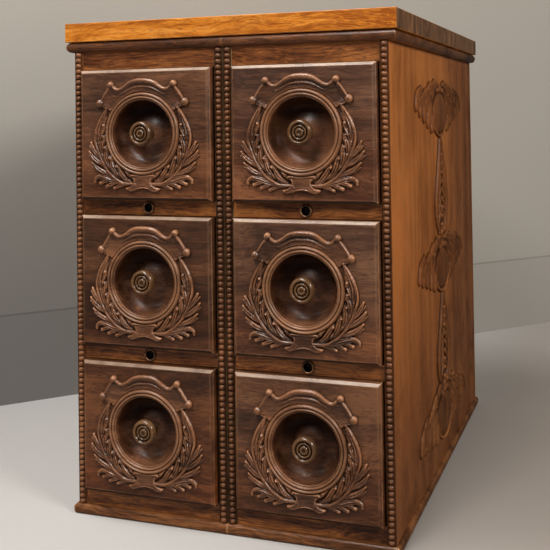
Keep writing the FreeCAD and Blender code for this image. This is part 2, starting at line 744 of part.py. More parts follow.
# ---------------------------------------------------------------- check and write
doc.recompute()
bad = [obj.Label for obj in doc.Objects if "Invalid" in obj.State or "Error" in obj.State]
if bad:
    raise SystemExit("failed objects: %s" % bad)
os.makedirs("parts", exist_ok=True)
for old in os.listdir("parts"):
    if old.endswith(".step"):
        os.remove(os.path.join("parts", old))
for label, obj in NODES.items():
    shape = obj.Shape
    if shape.isNull() or not shape.isValid() or not shape.Solids:
        raise SystemExit("%s has no valid shape" % label)
    if any(solid.Volume <= 0 for solid in shape.Solids):
        raise SystemExit("%s has a solid with no volume" % label)
    shape.exportStep(os.path.join("parts", label + ".step"))
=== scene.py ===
import json
import math

import bmesh
import bpy
import numpy as np
from mathutils import Matrix, Vector

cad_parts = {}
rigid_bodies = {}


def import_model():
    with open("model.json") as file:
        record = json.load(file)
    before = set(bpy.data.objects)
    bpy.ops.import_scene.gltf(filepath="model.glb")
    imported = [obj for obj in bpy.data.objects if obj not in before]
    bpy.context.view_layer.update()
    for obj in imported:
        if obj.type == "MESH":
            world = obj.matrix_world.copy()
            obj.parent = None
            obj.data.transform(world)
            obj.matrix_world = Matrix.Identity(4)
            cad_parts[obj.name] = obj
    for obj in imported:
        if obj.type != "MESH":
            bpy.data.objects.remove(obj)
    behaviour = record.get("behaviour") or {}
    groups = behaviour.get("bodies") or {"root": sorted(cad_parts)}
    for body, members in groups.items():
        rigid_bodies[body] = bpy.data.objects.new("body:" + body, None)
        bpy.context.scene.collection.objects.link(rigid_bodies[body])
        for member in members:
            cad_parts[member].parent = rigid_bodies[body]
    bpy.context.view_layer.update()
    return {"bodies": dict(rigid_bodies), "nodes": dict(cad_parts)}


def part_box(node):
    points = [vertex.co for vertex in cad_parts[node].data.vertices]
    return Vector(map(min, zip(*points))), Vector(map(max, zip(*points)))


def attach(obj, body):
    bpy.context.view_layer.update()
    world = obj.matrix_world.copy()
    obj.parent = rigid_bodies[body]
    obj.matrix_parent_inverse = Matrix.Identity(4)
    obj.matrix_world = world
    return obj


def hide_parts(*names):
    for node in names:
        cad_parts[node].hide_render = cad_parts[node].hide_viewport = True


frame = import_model()
NODES = frame["nodes"]
BODIES = frame["bodies"]
MM = 0.001

# ---------------------------------------------------------------- relief modelling on a grid, in millimetres
def curve(pts, n=40):
    """A smooth path through these points (Catmull-Rom), n points per span."""
    p = np.array(pts, float)
    p = np.vstack([2 * p[0] - p[1], p, 2 * p[-1] - p[-2]])
    out = []
    for i in range(1, len(p) - 2):
        t = np.linspace(0, 1, n, endpoint=False)[:, None]
        a, b, c, d = p[i - 1], p[i], p[i + 1], p[i + 2]
        out.append(0.5 * ((2 * b) + (-a + c) * t + (2 * a - 5 * b + 4 * c - d) * t ** 2 + (-a + 3 * b - 3 * c + d) * t ** 3))
    out.append(p[-2][None, :])
    return np.vstack(out)


class Relief:
    """Heights over a plane, built up by laying carved strokes on it. Outside a stroke the height falls away below the plane, so outlines stay clean."""

    def __init__(self, u0, u1, v0, v1, step):
        self.u = np.arange(u0, u1 + step / 2, step)
        self.v = np.arange(v0, v1 + step / 2, step)
        self.step = step
        self.U, self.V = np.meshgrid(self.u, self.v)
        self.h = np.full(self.U.shape, -2.0)

    def window(self, lo, hi):
        i0, i1 = np.searchsorted(self.u, [lo[0], hi[0]])
        j0, j1 = np.searchsorted(self.v, [lo[1], hi[1]])
        return slice(max(j0, 0), j1), slice(max(i0, 0), i1)

    def lay(self, win, h, mode="max", k=0.0):
        old = self.h[win]
        if mode == "max":
            if k > 0:      # a soft join
                d = np.clip(0.5 + 0.5 * (h - old) / k, 0, 1)
                self.h[win] = old * (1 - d) + h * d + k * d * (1 - d)
            else:
                self.h[win] = np.maximum(old, h)
        elif mode == "over":     # a leaf lying on top: a dark undercut line is left along its edge
            inside = h > 0
            self.h[win] = np.where(inside, np.maximum(h, old * 0.2 + h * 0.8), old)

    def stroke(self, pts, widths, heights, shape="round", vein=0.0, k=0.0, mode="max", side=0.0, ribs=0, ribdeep=0.0, n=14, wall=2.5, skew=0.0):
        """A leaf or rod along a path. widths are half widths and heights crest heights, spread evenly along it.
        shape: round, ridge (two slopes and a crest) or gutter (raised edges). vein: depth of the groove down the middle. ribs: number of side veins."""
        c = curve(pts, n) if len(pts) > 2 else np.array([np.array(pts[0]) * (1 - t) + np.array(pts[1]) * t for t in np.linspace(0, 1, n)])
        wmax = max(widths)
        win = self.window(c.min(0) - wmax - 1.2, c.max(0) + wmax + 1.2)
        U, V = self.U[win], self.V[win]
        if U.size == 0:
            return
        best = np.full(U.shape, 1e9)
        bt = np.zeros(U.shape)
        bs = np.zeros(U.shape)
        seg = np.linalg.norm(np.diff(c, axis=0), axis=1)
        cum = np.concatenate([[0], np.cumsum(seg)])
        for i in range(len(c) - 1):
            a, b = c[i], c[i + 1]
            ab = b - a
            L2 = ab @ ab + 1e-12
            t = np.clip(((U - a[0]) * ab[0] + (V - a[1]) * ab[1]) / L2, 0, 1)
            du, dv = U - a[0] - t * ab[0], V - a[1] - t * ab[1]
            d = np.hypot(du, dv)
            s = (cum[i] + t * seg[i]) / cum[-1]
            m = d < best
            best = np.where(m, d, best)
            bt = np.where(m, s, bt)
            bs = np.where(m, np.sign(ab[0] * dv - ab[1] * du), bs)
        w = np.interp(bt, np.linspace(0, 1, len(widths)), widths)
        H = np.interp(bt, np.linspace(0, 1, len(heights)), heights)
        if ribs:     # scalloped edges that follow the side veins
            w = w * (1 - 0.16 * (0.5 + 0.5 * np.cos(2 * math.pi * ribs * bt)) ** 2)
        e = best / np.maximum(w, 1e-6)
        ec = np.clip(e, 0, 1)
        if shape == "round":
            f = np.sqrt(np.clip(1 - ec ** 2.4, 0, 1))
        elif shape == "ridge":
            f = 0.45 * np.sqrt(np.clip(1 - ec ** 4, 0, 1)) + 0.55 * (1 - ec)
        elif shape == "flat":
            f = np.sqrt(np.clip(1 - ec ** 8, 0, 1))
        else:        # gutter
            f = np.sqrt(np.clip(1 - ec ** 6, 0, 1)) * (0.62 + 0.38 * np.clip(ec / 0.72, 0, 1) ** 2)
        h = H * f
        if skew:
            h = h + skew * bs * ec * f
        if vein:
            h = h - vein * np.exp(-(best / 0.42) ** 2) * (H > 0)
        if ribs and ribdeep:
            ph = bt * ribs - ec * 0.55
            h = h - ribdeep * np.clip(np.cos(2 * math.pi * ph), 0, 1) ** 3 * np.clip(ec * 2.2, 0, 1) * (e < 1)
        h = np.where(e < 1, h, -(best - w) * wall)
        h = np.maximum(h, -2.0)
        self.lay(win, h, mode, k)

    def groove(self, pts, width, depth, n=10):
        """Cuts a soft groove along a path, only where there is relief to cut."""
        c = curve(pts, n) if len(pts) > 2 else np.linspace(pts[0], pts[1], n)
        win = self.window(c.min(0) - width * 3, c.max(0) + width * 3)
        U, V = self.U[win], self.V[win]
        best = np.full(U.shape, 1e9)
        s = np.zeros(U.shape)
        for i in range(len(c) - 1):
            a, b = c[i], c[i + 1]
            ab = b - a
            t = np.clip(((U - a[0]) * ab[0] + (V - a[1]) * ab[1]) / (ab @ ab + 1e-12), 0, 1)
            d = np.hypot(U - a[0] - t * ab[0], V - a[1] - t * ab[1])
            m = d < best
            best = np.where(m, d, best)
            s = np.where(m, (i + t) / (len(c) - 1), s)
        fade = np.clip(np.minimum(s, 1 - s) * 6, 0.25, 1)
        old = self.h[win]
        self.h[win] = np.where(old > 0.4, np.maximum(old - depth * fade * np.exp(-(best / width) ** 2), 0.35), old)

    def ball(self, u, v, r, h, k=0.0):
        win = self.window((u - r - 1.2, v - r - 1.2), (u + r + 1.2, v + r + 1.2))
        d = np.hypot(self.U[win] - u, self.V[win] - v)
        f = np.where(d < r, h * np.sqrt(np.clip(1 - (d / r) ** 2, 0, 1)) ** 0.9, -(d - r) * 2.5)
        self.lay(win, np.maximum(f, -2.0), "max", k)

    def plate(self, poly, height, edge=1.4, dish=0.0, k=0.0, wall=2.6):
        """A flat piece with this outline, rounded over at its edge and dished by this much in the middle."""
        p = np.array(poly, float)
        win = self.window(p.min(0) - 1.2, p.max(0) + 1.2)
        U, V = self.U[win], self.V[win]
        inside = np.zeros(U.shape, bool)
        dist = np.full(U.shape, 1e9)
        for i in range(len(p)):
            a, b = p[i], p[(i + 1) % len(p)]
            cond = ((a[1] > V) != (b[1] > V)) & (U < (b[0] - a[0]) * (V - a[1]) / (b[1] - a[1] + 1e-12) + a[0])
            inside ^= cond
            ab = b - a
            t = np.clip(((U - a[0]) * ab[0] + (V - a[1]) * ab[1]) / (ab @ ab + 1e-12), 0, 1)
            dist = np.minimum(dist, np.hypot(U - a[0] - t * ab[0], V - a[1] - t * ab[1]))
        x = np.clip(dist / edge, 0, 1)
        h = np.where(inside, height * np.sqrt(1 - (1 - x) ** 2) - dish * np.clip((dist - edge) / 3.0, 0, 1), -dist * wall)
        self.lay(win, np.maximum(h, -2.0), "max", k)

    def mirror(self):
        """Copies the right half over the left, where the higher one counts."""
        self.h = np.maximum(self.h, self.h[:, ::-1])


def blur(a, sigma):
    """A soft average, sigma in cells."""
    n = max(1, int(sigma * 3))
    x = np.arange(-n, n + 1)
    g = np.exp(-x ** 2 / (2 * sigma ** 2))
    g /= g.sum()
    p = np.pad(a, n, mode="edge")
    p = np.apply_along_axis(lambda r: np.convolve(r, g, "valid"), 1, p)
    return np.apply_along_axis(lambda r: np.convolve(r, g, "valid"), 0, p)


def front_relief(step=0.3):
    """The wreath, crest and tablet round a pull, about the centre of its ring."""
    R = Relief(-61.2, 61.2, -61.2, 57.0, step)
    P = lambda phi, r: (r * math.cos(math.radians(phi)), r * math.sin(math.radians(phi)))
    full = lambda half: half + [(-u, v) for u, v in reversed(half) if abs(u) > 1e-6]
    # ground of the wreath between the ring and the stem
    ring_side = [P(a, 38) for a in np.linspace(28, -72, 22)]
    stem_side = [(11, -48.5), (25, -46.0), (36, -37.8), (44.5, -25.5), (49.5, -13), (50.4, -4), (48.0, 6), (42, 18), (37.5, 24.0)]
    R.plate(ring_side + [tuple(x) for x in curve(stem_side, 6)], 0.9, 0.8)
    # leaves of the band, each a comma that climbs from the stem towards the ring
    for i, a0 in enumerate((-69, -54, -39, -24, -10)):
        rs = (49.4, 50.2, 50.4, 50.2, 49.6)[i]
        f = (0.92, 1.0, 1.05, 1.0, 0.9)[i]
        R.stroke([P(a0 - 6, rs + 0.4), P(a0 + 3, rs - 1.2), P(a0 + 11, rs - 4.2), P(a0 + 17, rs - 6.6), P(a0 + 21.5, rs - 6.4)],
                 [1.4, 3.0 * f, 3.7 * f, 3.2 * f, 2.0], [1.4, 2.9, 3.9, 3.9, 2.8], "round", vein=0.0)
        for off, w, hh in ((-2.4, 0.70, 1.0), (0.0, 0.7, 1.3), (2.2, 0.7, 1.0)):      # flutes in the leaf
            c = [P(a0 - 2, rs - 0.8 + off * 0.6), P(a0 + 6, rs - 2.6 + off), P(a0 + 13, rs - 4.9 + off), P(a0 + 17.5, rs - 6.4 + off * 0.5)]
            R.groove(c, w, hh)
        R.stroke([P(a0 - 4, rs - 4.4), P(a0 + 2, rs - 7.2), P(a0 + 7, rs - 8.6)], [1.1, 2.0, 1.3], [1.8, 3.2, 2.5], "round", vein=0.5)
        R.stroke([P(a0 + 8, rs - 0.2), P(a0 + 14, rs - 1.0), P(a0 + 19, rs - 2.6)], [1.0, 1.6, 1.0], [2.4, 3.5, 2.9], "round", vein=0.4)
        R.ball(*P(a0 + 21.0, rs - 5.9), 1.9, 4.3)
    # top leaf, running down from the bud beside the lower ball
    R.stroke([(39.4, 24.6), (43.6, 16.4), (47.6, 7.4), (49.8, -2.0), (49.0, -8.0)], [1.6, 3.0, 3.9, 3.6, 1.8], [2.6, 3.5, 3.8, 3.6, 2.2], "round")
    R.groove([(41.4, 21.0), (45.6, 12.5), (48.9, 4.5), (50.1, -3.0)], 0.7, 1.2)
    R.groove([(41.2, 18.6), (44.4, 10.5), (46.6, 3.0), (47.0, -3.0)], 0.7, 1.1)
    R.stroke([(39.6, 17.0), (42.4, 11.0), (44.0, 4.6), (43.6, -1.6)], [0.8, 1.8, 2.1, 1.2], [1.8, 2.6, 2.7, 1.9], "round", vein=0.4)
    R.ball(39.4, 25.0, 2.1, 3.2)
    # stem, from the tablet out and up
    stem = [(9, -49.0), (17, -49.0), (25, -47.2), (36, -39.6), (45, -27.4), (50.4, -14.5), (52.4, -5), (51.0, 5), (46.4, 14.6), (40.4, 24.0)]
    R.stroke(stem, [1.7, 1.8, 2.0, 1.9, 1.75, 1.6, 1.45, 1.3, 1.1, 0.9], [2.9, 3.2, 3.5, 3.4, 3.3, 3.2, 3.1, 2.9, 2.7, 2.4], "round", k=0.3)
    # blades that peel off the outside of the stem
    for pts, w in (
        ([(47.5, -25.0), (51.6, -19.4), (55.2, -14.2), (58.0, -8.2)], 2.7),
        ([(43.0, -31.8), (49.6, -27.6), (55.6, -23.0), (60.0, -17.2)], 3.0),
        ([(35.5, -40.6), (43.6, -37.6), (51.0, -33.8), (57.0, -28.0)], 2.9),
    ):
        p = [np.array(x) for x in pts]
        R.stroke(pts, [1.3, w, w * 0.95, 1.1], [2.8, 3.5, 3.3, 2.5], "round")
        R.groove([tuple(p[0] * 0.4 + p[1] * 0.6), tuple(p[1] * 0.3 + p[2] * 0.7), tuple(p[2] * 0.35 + p[3] * 0.65)], 0.6, 0.8)
        n = np.array([p[3][1] - p[1][1], -(p[3][0] - p[1][0])])
        n = n / np.linalg.norm(n)
        R.stroke([tuple(p[0] * 0.3 + p[1] * 0.7 + n * 1.2), tuple(p[2] + n * 2.1), tuple(p[2] * 0.3 + p[3] * 0.7 + n * 3.0)], [0.8, 1.4, 0.7], [2.2, 2.5, 1.8], "round", vein=0.2)
        R.ball(pts[-1][0] - 0.4, pts[-1][1] - 0.5, 1.35, 2.8)
    # broad leaf along the bottom: its upper lobe curls over at the tip, and rounded fingers hang below the rib
    for pts, w, hh in (
        ([(20.0, -49.8), (26.4, -51.2), (31.4, -53.4)], 2.1, 2.9),
        ([(27.5, -48.2), (34.6, -49.4), (39.8, -51.8)], 2.4, 3.2),
        ([(35.0, -46.2), (42.2, -46.8), (47.2, -48.8)], 2.2, 3.2),
    ):
        p = [np.array(x) for x in pts]
        R.stroke(pts, [1.3, w, w * 0.86], [2.4, hh, hh * 0.92], "round")
        R.groove([tuple(p[0] * 0.5 + p[1] * 0.5), tuple(p[1] * 0.4 + p[2] * 0.6)], 0.5, 0.6)
        R.ball(pts[-1][0] - 0.2, pts[-1][1] + 0.2, w * 0.95, hh)
    R.stroke([(12.0, -50.0), (22.0, -49.0), (32.0, -46.8), (41.0, -43.6), (48.4, -42.2), (52.8, -44.6), (53.6, -47.6)], [1.3, 1.9, 2.4, 3.1, 3.4, 2.6, 1.4], [2.6, 3.0, 3.2, 3.5, 3.5, 3.1, 2.4], "round")
    R.groove([(27, -48.6), (35, -46.4), (42.6, -44.0), (48.6, -43.6)], 0.6, 0.95)
    R.groove([(33, -45.2), (40.4, -42.4), (46.6, -41.2)], 0.5, 0.7)
    R.stroke([(29.0, -46.4), (34.6, -43.2), (40.6, -40.6)], [1.0, 1.7, 1.0], [2.4, 2.9, 2.3], "round", vein=0.3)
    # tablet with its curled feet
    tab = [(0, -38.6), (9.5, -38.8), (13.2, -40.0), (13.9, -42.0), (12.2, -43.8), (10.2, -45.6), (9.0, -48.4), (9.4, -50.8), (10.8, -52.6), (6.0, -53.4), (0, -52.6)]
    R.plate(full(tab), 2.7, 1.5, dish=0.5)
    R.stroke([(-12.4, -41.0), (0, -40.6), (12.4, -41.0)], [1.7, 1.1, 1.7], [3.4, 2.9, 3.4], "round", k=0.3)
    R.ball(13.0, -41.6, 1.8, 3.3)
    foot = [(7.4, -47.4), (10.2, -48.2), (12.6, -50.4), (16.2, -51.8), (19.0, -53.0), (18.6, -54.6), (16.4, -56.2), (13.2, -57.0), (9.8, -56.0), (6.0, -54.0), (5.4, -50.5)]
    R.plate([tuple(x) for x in curve(foot + foot[:1], 3)[:-1]], 3.3, 1.9, k=0.3)
    R.stroke([(9.4, -43.6), (8.6, -46.4), (9.6, -49.8), (13.2, -52.8), (17.4, -54.2)], [0.8, 0.9, 1.2, 1.4, 1.1], [3.1, 3.2, 3.7, 3.8, 3.2], "round", k=0.3)
    R.stroke([(-10.5, -55.2), (-6.0, -53.4), (0, -52.6), (6.0, -53.4), (10.5, -55.2)], [1.3, 1.0, 0.9, 1.0, 1.3], [2.6, 3.0, 3.0, 3.0, 2.6], "round", k=0.3)
    # crest plate over the ring
    top = [(0, 51.0), (6, 50.8), (12, 49.4), (17, 46.8), (21.5, 43.8), (25.5, 42.2), (29.5, 43.2), (32.5, 46.6), (36.0, 46.4), (40.0, 40.0), (44.5, 33.0), (46.5, 29.5),
           (45.5, 27.5), (42.0, 26.6), (40.0, 25.6), (36, 22.0), (30.5, 22.0)]
    R.plate(full(top + [P(a, 37.5) for a in np.linspace(36, 90, 10)]), 2.7, 1.6, dish=0.7)
    # rolled rim of the crest, with a second finer line inside it
    rim = [(0, 51.4), (7, 51.0), (13, 49.2), (19, 45.6), (24, 43.2), (28.0, 43.3), (31.2, 45.6), (33.4, 47.6)]
    both = lambda a: a[:0:-1] + a
    R.stroke([(-u, v) for u, v in rim[:0:-1]] + rim, both([3.1, 3.1, 3.0, 2.8, 2.5, 2.3, 2.2, 2.2]), both([4.4, 4.3, 4.2, 4.0, 3.9, 3.8, 3.8, 3.9]), "round", k=0.5)
    fine = [(0, 46.0), (7, 45.6), (12.5, 44.0), (18.5, 40.9), (24.0, 38.6), (29.5, 39.6)]
    R.stroke([(-u, v) for u, v in fine[:0:-1]] + fine, both([1.3, 1.3, 1.25, 1.15, 1.0, 0.6]), both([3.1, 3.05, 2.95, 2.8, 2.6, 2.0]), "round", k=0.7)
    # edge of the crest between the balls
    R.stroke([(35.2, 46.0), (39.6, 40.4), (43.8, 34.2), (46.2, 30.4)], [2.0, 2.0, 2.0, 2.1], [3.6, 3.4, 3.4, 3.6], "round", k=0.6)
    R.stroke([(33.6, 42.8), (38.4, 36.4), (42.4, 31.0)], [0.5, 0.9, 0.6], [1.7, 2.0, 1.7], "round", k=0.4)
    R.stroke([(46.2, 29.0), (42.8, 26.8), (39.6, 25.2)], [1.2, 1.1, 1.0], [2.7, 2.5, 2.5], "round", k=0.3)
    R.ball(34.6, 48.2, 3.7, 5.6)
    R.ball(46.8, 30.3, 4.1, 5.6)
    R.mirror()
    # everything falls away just before it meets the turned ring
    r = np.hypot(R.U, R.V)
    R.h = np.where(R.h > 0, R.h * np.clip((r - 40.2) / 1.2, 0.22, 1.0), R.h)
    return R


def side_relief(step=0.6):
    """The hanging ornament of an outer wall: three winged leaf clusters joined by two drops. u is the depth about the middle, v the height."""
    R = Relief(-128.0, 128.0, 16.0, 448.0, step)
    full = lambda half: half + [(-u, v) for u, v in reversed(half) if abs(u) > 1e-6]

    def cluster(zc, droop=0.0, zb=0.0, size=1.0):
        sag = lambda u: droop * abs(u) * (0.6 + 0.004 * abs(u))
        at = lambda u, v: (u * size, zc + v * size - sag(u))
        R.plate(full([at(u, v) for u, v in [(0, 25), (20, 25), (46, 20), (72, 11), (98, 4), (112, 0), (96, 1), (80, -1), (62, -5), (44, -10), (30, -17), (0, -24)]]), 1.2, 1.6)
        # rounded lobes that hang off the wing, with deep gaps between their tips
        for tu, tv, w in ((114, 0, 7.4), (96, -5, 8.6), (77, -10, 9.2), (58, -16, 9.2), (41, -23, 8.0)):
            pts = [at(tu * 0.84 - 8, tv + 19), at(tu - 6, tv + 11), at(tu, tv)]
            p = [np.array(x) for x in pts]
            R.stroke(pts, [3.6, w * 0.8, w * 0.85], [2.2, 3.8, 4.6], "round")
            R.groove([tuple(p[0] * 0.7 + p[1] * 0.3), tuple(p[1] * 0.9 + p[2] * 0.1), tuple(p[1] * 0.45 + p[2] * 0.55)], 1.3, 1.7)
            R.ball(p[2][0], p[2][1], w * 0.78, 5.0)
        # leaves that overlap along the top edge, each curling out at its end
        for u0, v0, w in ((14, 24.5, 5.4), (36, 21.0, 5.4), (58, 14.5, 5.0), (80, 8.0, 4.4)):
            pts = [at(u0, v0), at(u0 + 12, v0 + 0.5), at(u0 + 24, v0 - 4.0), at(u0 + 31, v0 - 9.5)]
            R.stroke(pts, [2.6, w, w * 0.9, 2.4], [3.0, 4.6, 4.3, 3.0], "round")
            R.groove([at(u0 + 4, v0 + 0.4), at(u0 + 14, v0 - 0.6), at(u0 + 25, v0 - 5.2)], 1.0, 1.3)
            R.ball(*at(u0 + 31, v0 - 10.5), 3.6, 3.9)
        # smooth shield in the middle, set off by a deep line
        hw, hh = 33.0 * size, 23.0 * size
        e = np.hypot(R.U / (hw + 5.0), (R.V - zb) / (hh + 5.0))
        R.h = np.where((e < 1) & (R.h > 0.5), 0.5, R.h)
        t = np.linspace(0, 2 * math.pi, 56, endpoint=False)
        R.plate([(hw * math.sin(a) * (1 - 0.10 * math.cos(2 * a)), zb + hh * math.cos(a)) for a in t], 4.8, 12.0)
        low = [(hw + 2.6) * math.sin(a) for a in np.linspace(math.radians(100), math.radians(180), 7)]
        lov = [zb + (hh + 3.0) * math.cos(a) for a in np.linspace(math.radians(100), math.radians(180), 7)]
        rim = list(zip(low, lov))
        R.stroke(rim + [(-u, v) for u, v in rim[-2::-1]], [1.8] * 5, [3.0, 3.8, 4.0, 3.8, 3.0], "round")
        R.ball(0, zb + hh + 4.0, 5.0, 4.6)
        R.ball(13, zb + hh + 2.4, 3.6, 4.2)

    def drop(zt, zb):
        z = lambda f: zt - f * (zt - zb)
        R.plate(full([(0, z(0.10)), (9, z(0.20)), (19, z(0.45)), (25, z(0.70)), (20, z(0.87)), (8, z(0.94)), (0, z(0.95))]), 0.7, 1.5)
        R.ball(0, z(0.0), 5.2, 4.4)
        R.ball(0, z(0.09), 3.8, 4.2)
        # two smooth strands bow out and close again
        R.stroke([(4, z(0.05)), (9, z(0.20)), (18, z(0.44)), (26, z(0.68)), (24.5, z(0.84)), (14, z(0.98))], [3.0, 4.0, 5.0, 5.4, 4.6, 2.8], [3.4, 4.2, 4.8, 4.8, 4.2, 3.2], "round")
        R.ball(13.5, z(0.985), 4.0, 4.2)
        # small leaves between them
        for f in (0.26, 0.37, 0.48, 0.59, 0.70, 0.81):
            g = min(1.0, (f - 0.1) * 1.7)
            R.stroke([(1.5, z(f - 0.05)), (4 + 6 * g, z(f)), (6 + 9 * g, z(f + 0.07))], [1.8, 2.9, 1.6], [2.8, 4.0, 3.2], "round", vein=0.5)
        for f in np.linspace(0.2, 0.92, 9):
            R.ball(0, z(f), 3.0, 4.4)
        R.ball(0, z(1.0), 4.4, 4.2)

    drop(370.0, 262.0)
    drop(198.0, 92.0)
    cluster(403.0, 0.0, 396.0)
    cluster(231.0, 0.03, 222.0, 0.97)
    cluster(70.0, 0.12, 60.0)
    R.mirror()
    R.h = np.where(R.h > 0, R.h * 0.85, R.h)
    return R


# ---------------------------------------------------------------- shader helpers
class Tree:
    """A small helper that lays out a material's nodes."""

    def __init__(self, name):
        self.mat = bpy.data.materials.new(name)
        self.mat.use_nodes = True
        self.t = self.mat.node_tree
        self.t.nodes.clear()
        self.out = self.t.nodes.new("ShaderNodeOutputMaterial")

    def new(self, kind, **props):
        n = self.t.nodes.new(kind)
        for k, v in props.items():
            setattr(n, k, v)
        return n

    def link(self, a, b):
        self.t.links.new(a, b)

    def put(self, socket, val):
        if hasattr(val, "is_output") or isinstance(val, bpy.types.NodeSocket):
            self.link(val, socket)
        else:
            socket.default_value = val

    def math(self, op, a, b=None, c=None, clamp=False):
        n = self.new("ShaderNodeMath", operation=op, use_clamp=clamp)
        for i, x in enumerate((a, b, c)):
            if x is not None:
                self.put(n.inputs[i], x)
        return n.outputs[0]

    def mix(self, fac, a, b, kind="RGBA", blend="MIX"):
        n = self.new("ShaderNodeMix", data_type=kind, blend_type=blend) if kind == "RGBA" else self.new("ShaderNodeMix", data_type=kind)
        if kind == "RGBA":
            fa, aa, bb, oo = n.inputs[0], n.inputs[6], n.inputs[7], n.outputs[2]
        else:
            fa, aa, bb, oo = n.inputs[0], n.inputs[2], n.inputs[3], n.outputs[0]
        self.put(fa, fac)
        self.put(aa, a)
        self.put(bb, b)
        return oo

    def ramp(self, fac, stops, interp="LINEAR"):
        n = self.new("ShaderNodeValToRGB")
        n.color_ramp.interpolation = interp
        el = n.color_ramp.elements
        while len(el) < len(stops):
            el.new(0.5)
        for e, (p, c) in zip(el, stops):
            e.position = p
            e.color = c if len(c) == 4 else (*c, 1.0)
        self.link(fac, n.inputs[0])
        return n.outputs[0]

    def step(self, fac, lo, hi, a=0.0, b=1.0):
        n = self.new("ShaderNodeMapRange", interpolation_type="SMOOTHSTEP")
        self.link(fac, n.inputs[0])
        n.inputs[1].default_value, n.inputs[2].default_value = lo, hi
        n.inputs[3].default_value, n.inputs[4].default_value = a, b
        return n.outputs[0]

    def noise(self, vec, scale, detail=3.0, rough=0.5, distort=0.0, dims="3D", w=None):
        n = self.new("ShaderNodeTexNoise", noise_dimensions=dims)
        self.link(vec, n.inputs["Vector"])
        n.inputs["Scale"].default_value = scale
        n.inputs["Detail"].default_value = detail
        n.inputs["Roughness"].default_value = rough
        n.inputs["Distortion"].default_value = distort
        if w is not None:
            n.inputs["W"].default_value = w
        return n.outputs[0]

    def scaled(self, vec, scale, loc=(0, 0, 0), rot=(0, 0, 0)):
        n = self.new("ShaderNodeMapping")
        self.link(vec, n.inputs[0])
        n.inputs["Location"].default_value = loc
        n.inputs["Rotation"].default_value = rot
        n.inputs["Scale"].default_value = scale
        return n.outputs[0]


def srgb(r, g, b):
    f = lambda c: (c / 255 / 12.92) if c / 255 <= 0.04045 else ((c / 255 + 0.055) / 1.055) ** 2.4
    return (f(r), f(g), f(b), 1.0)


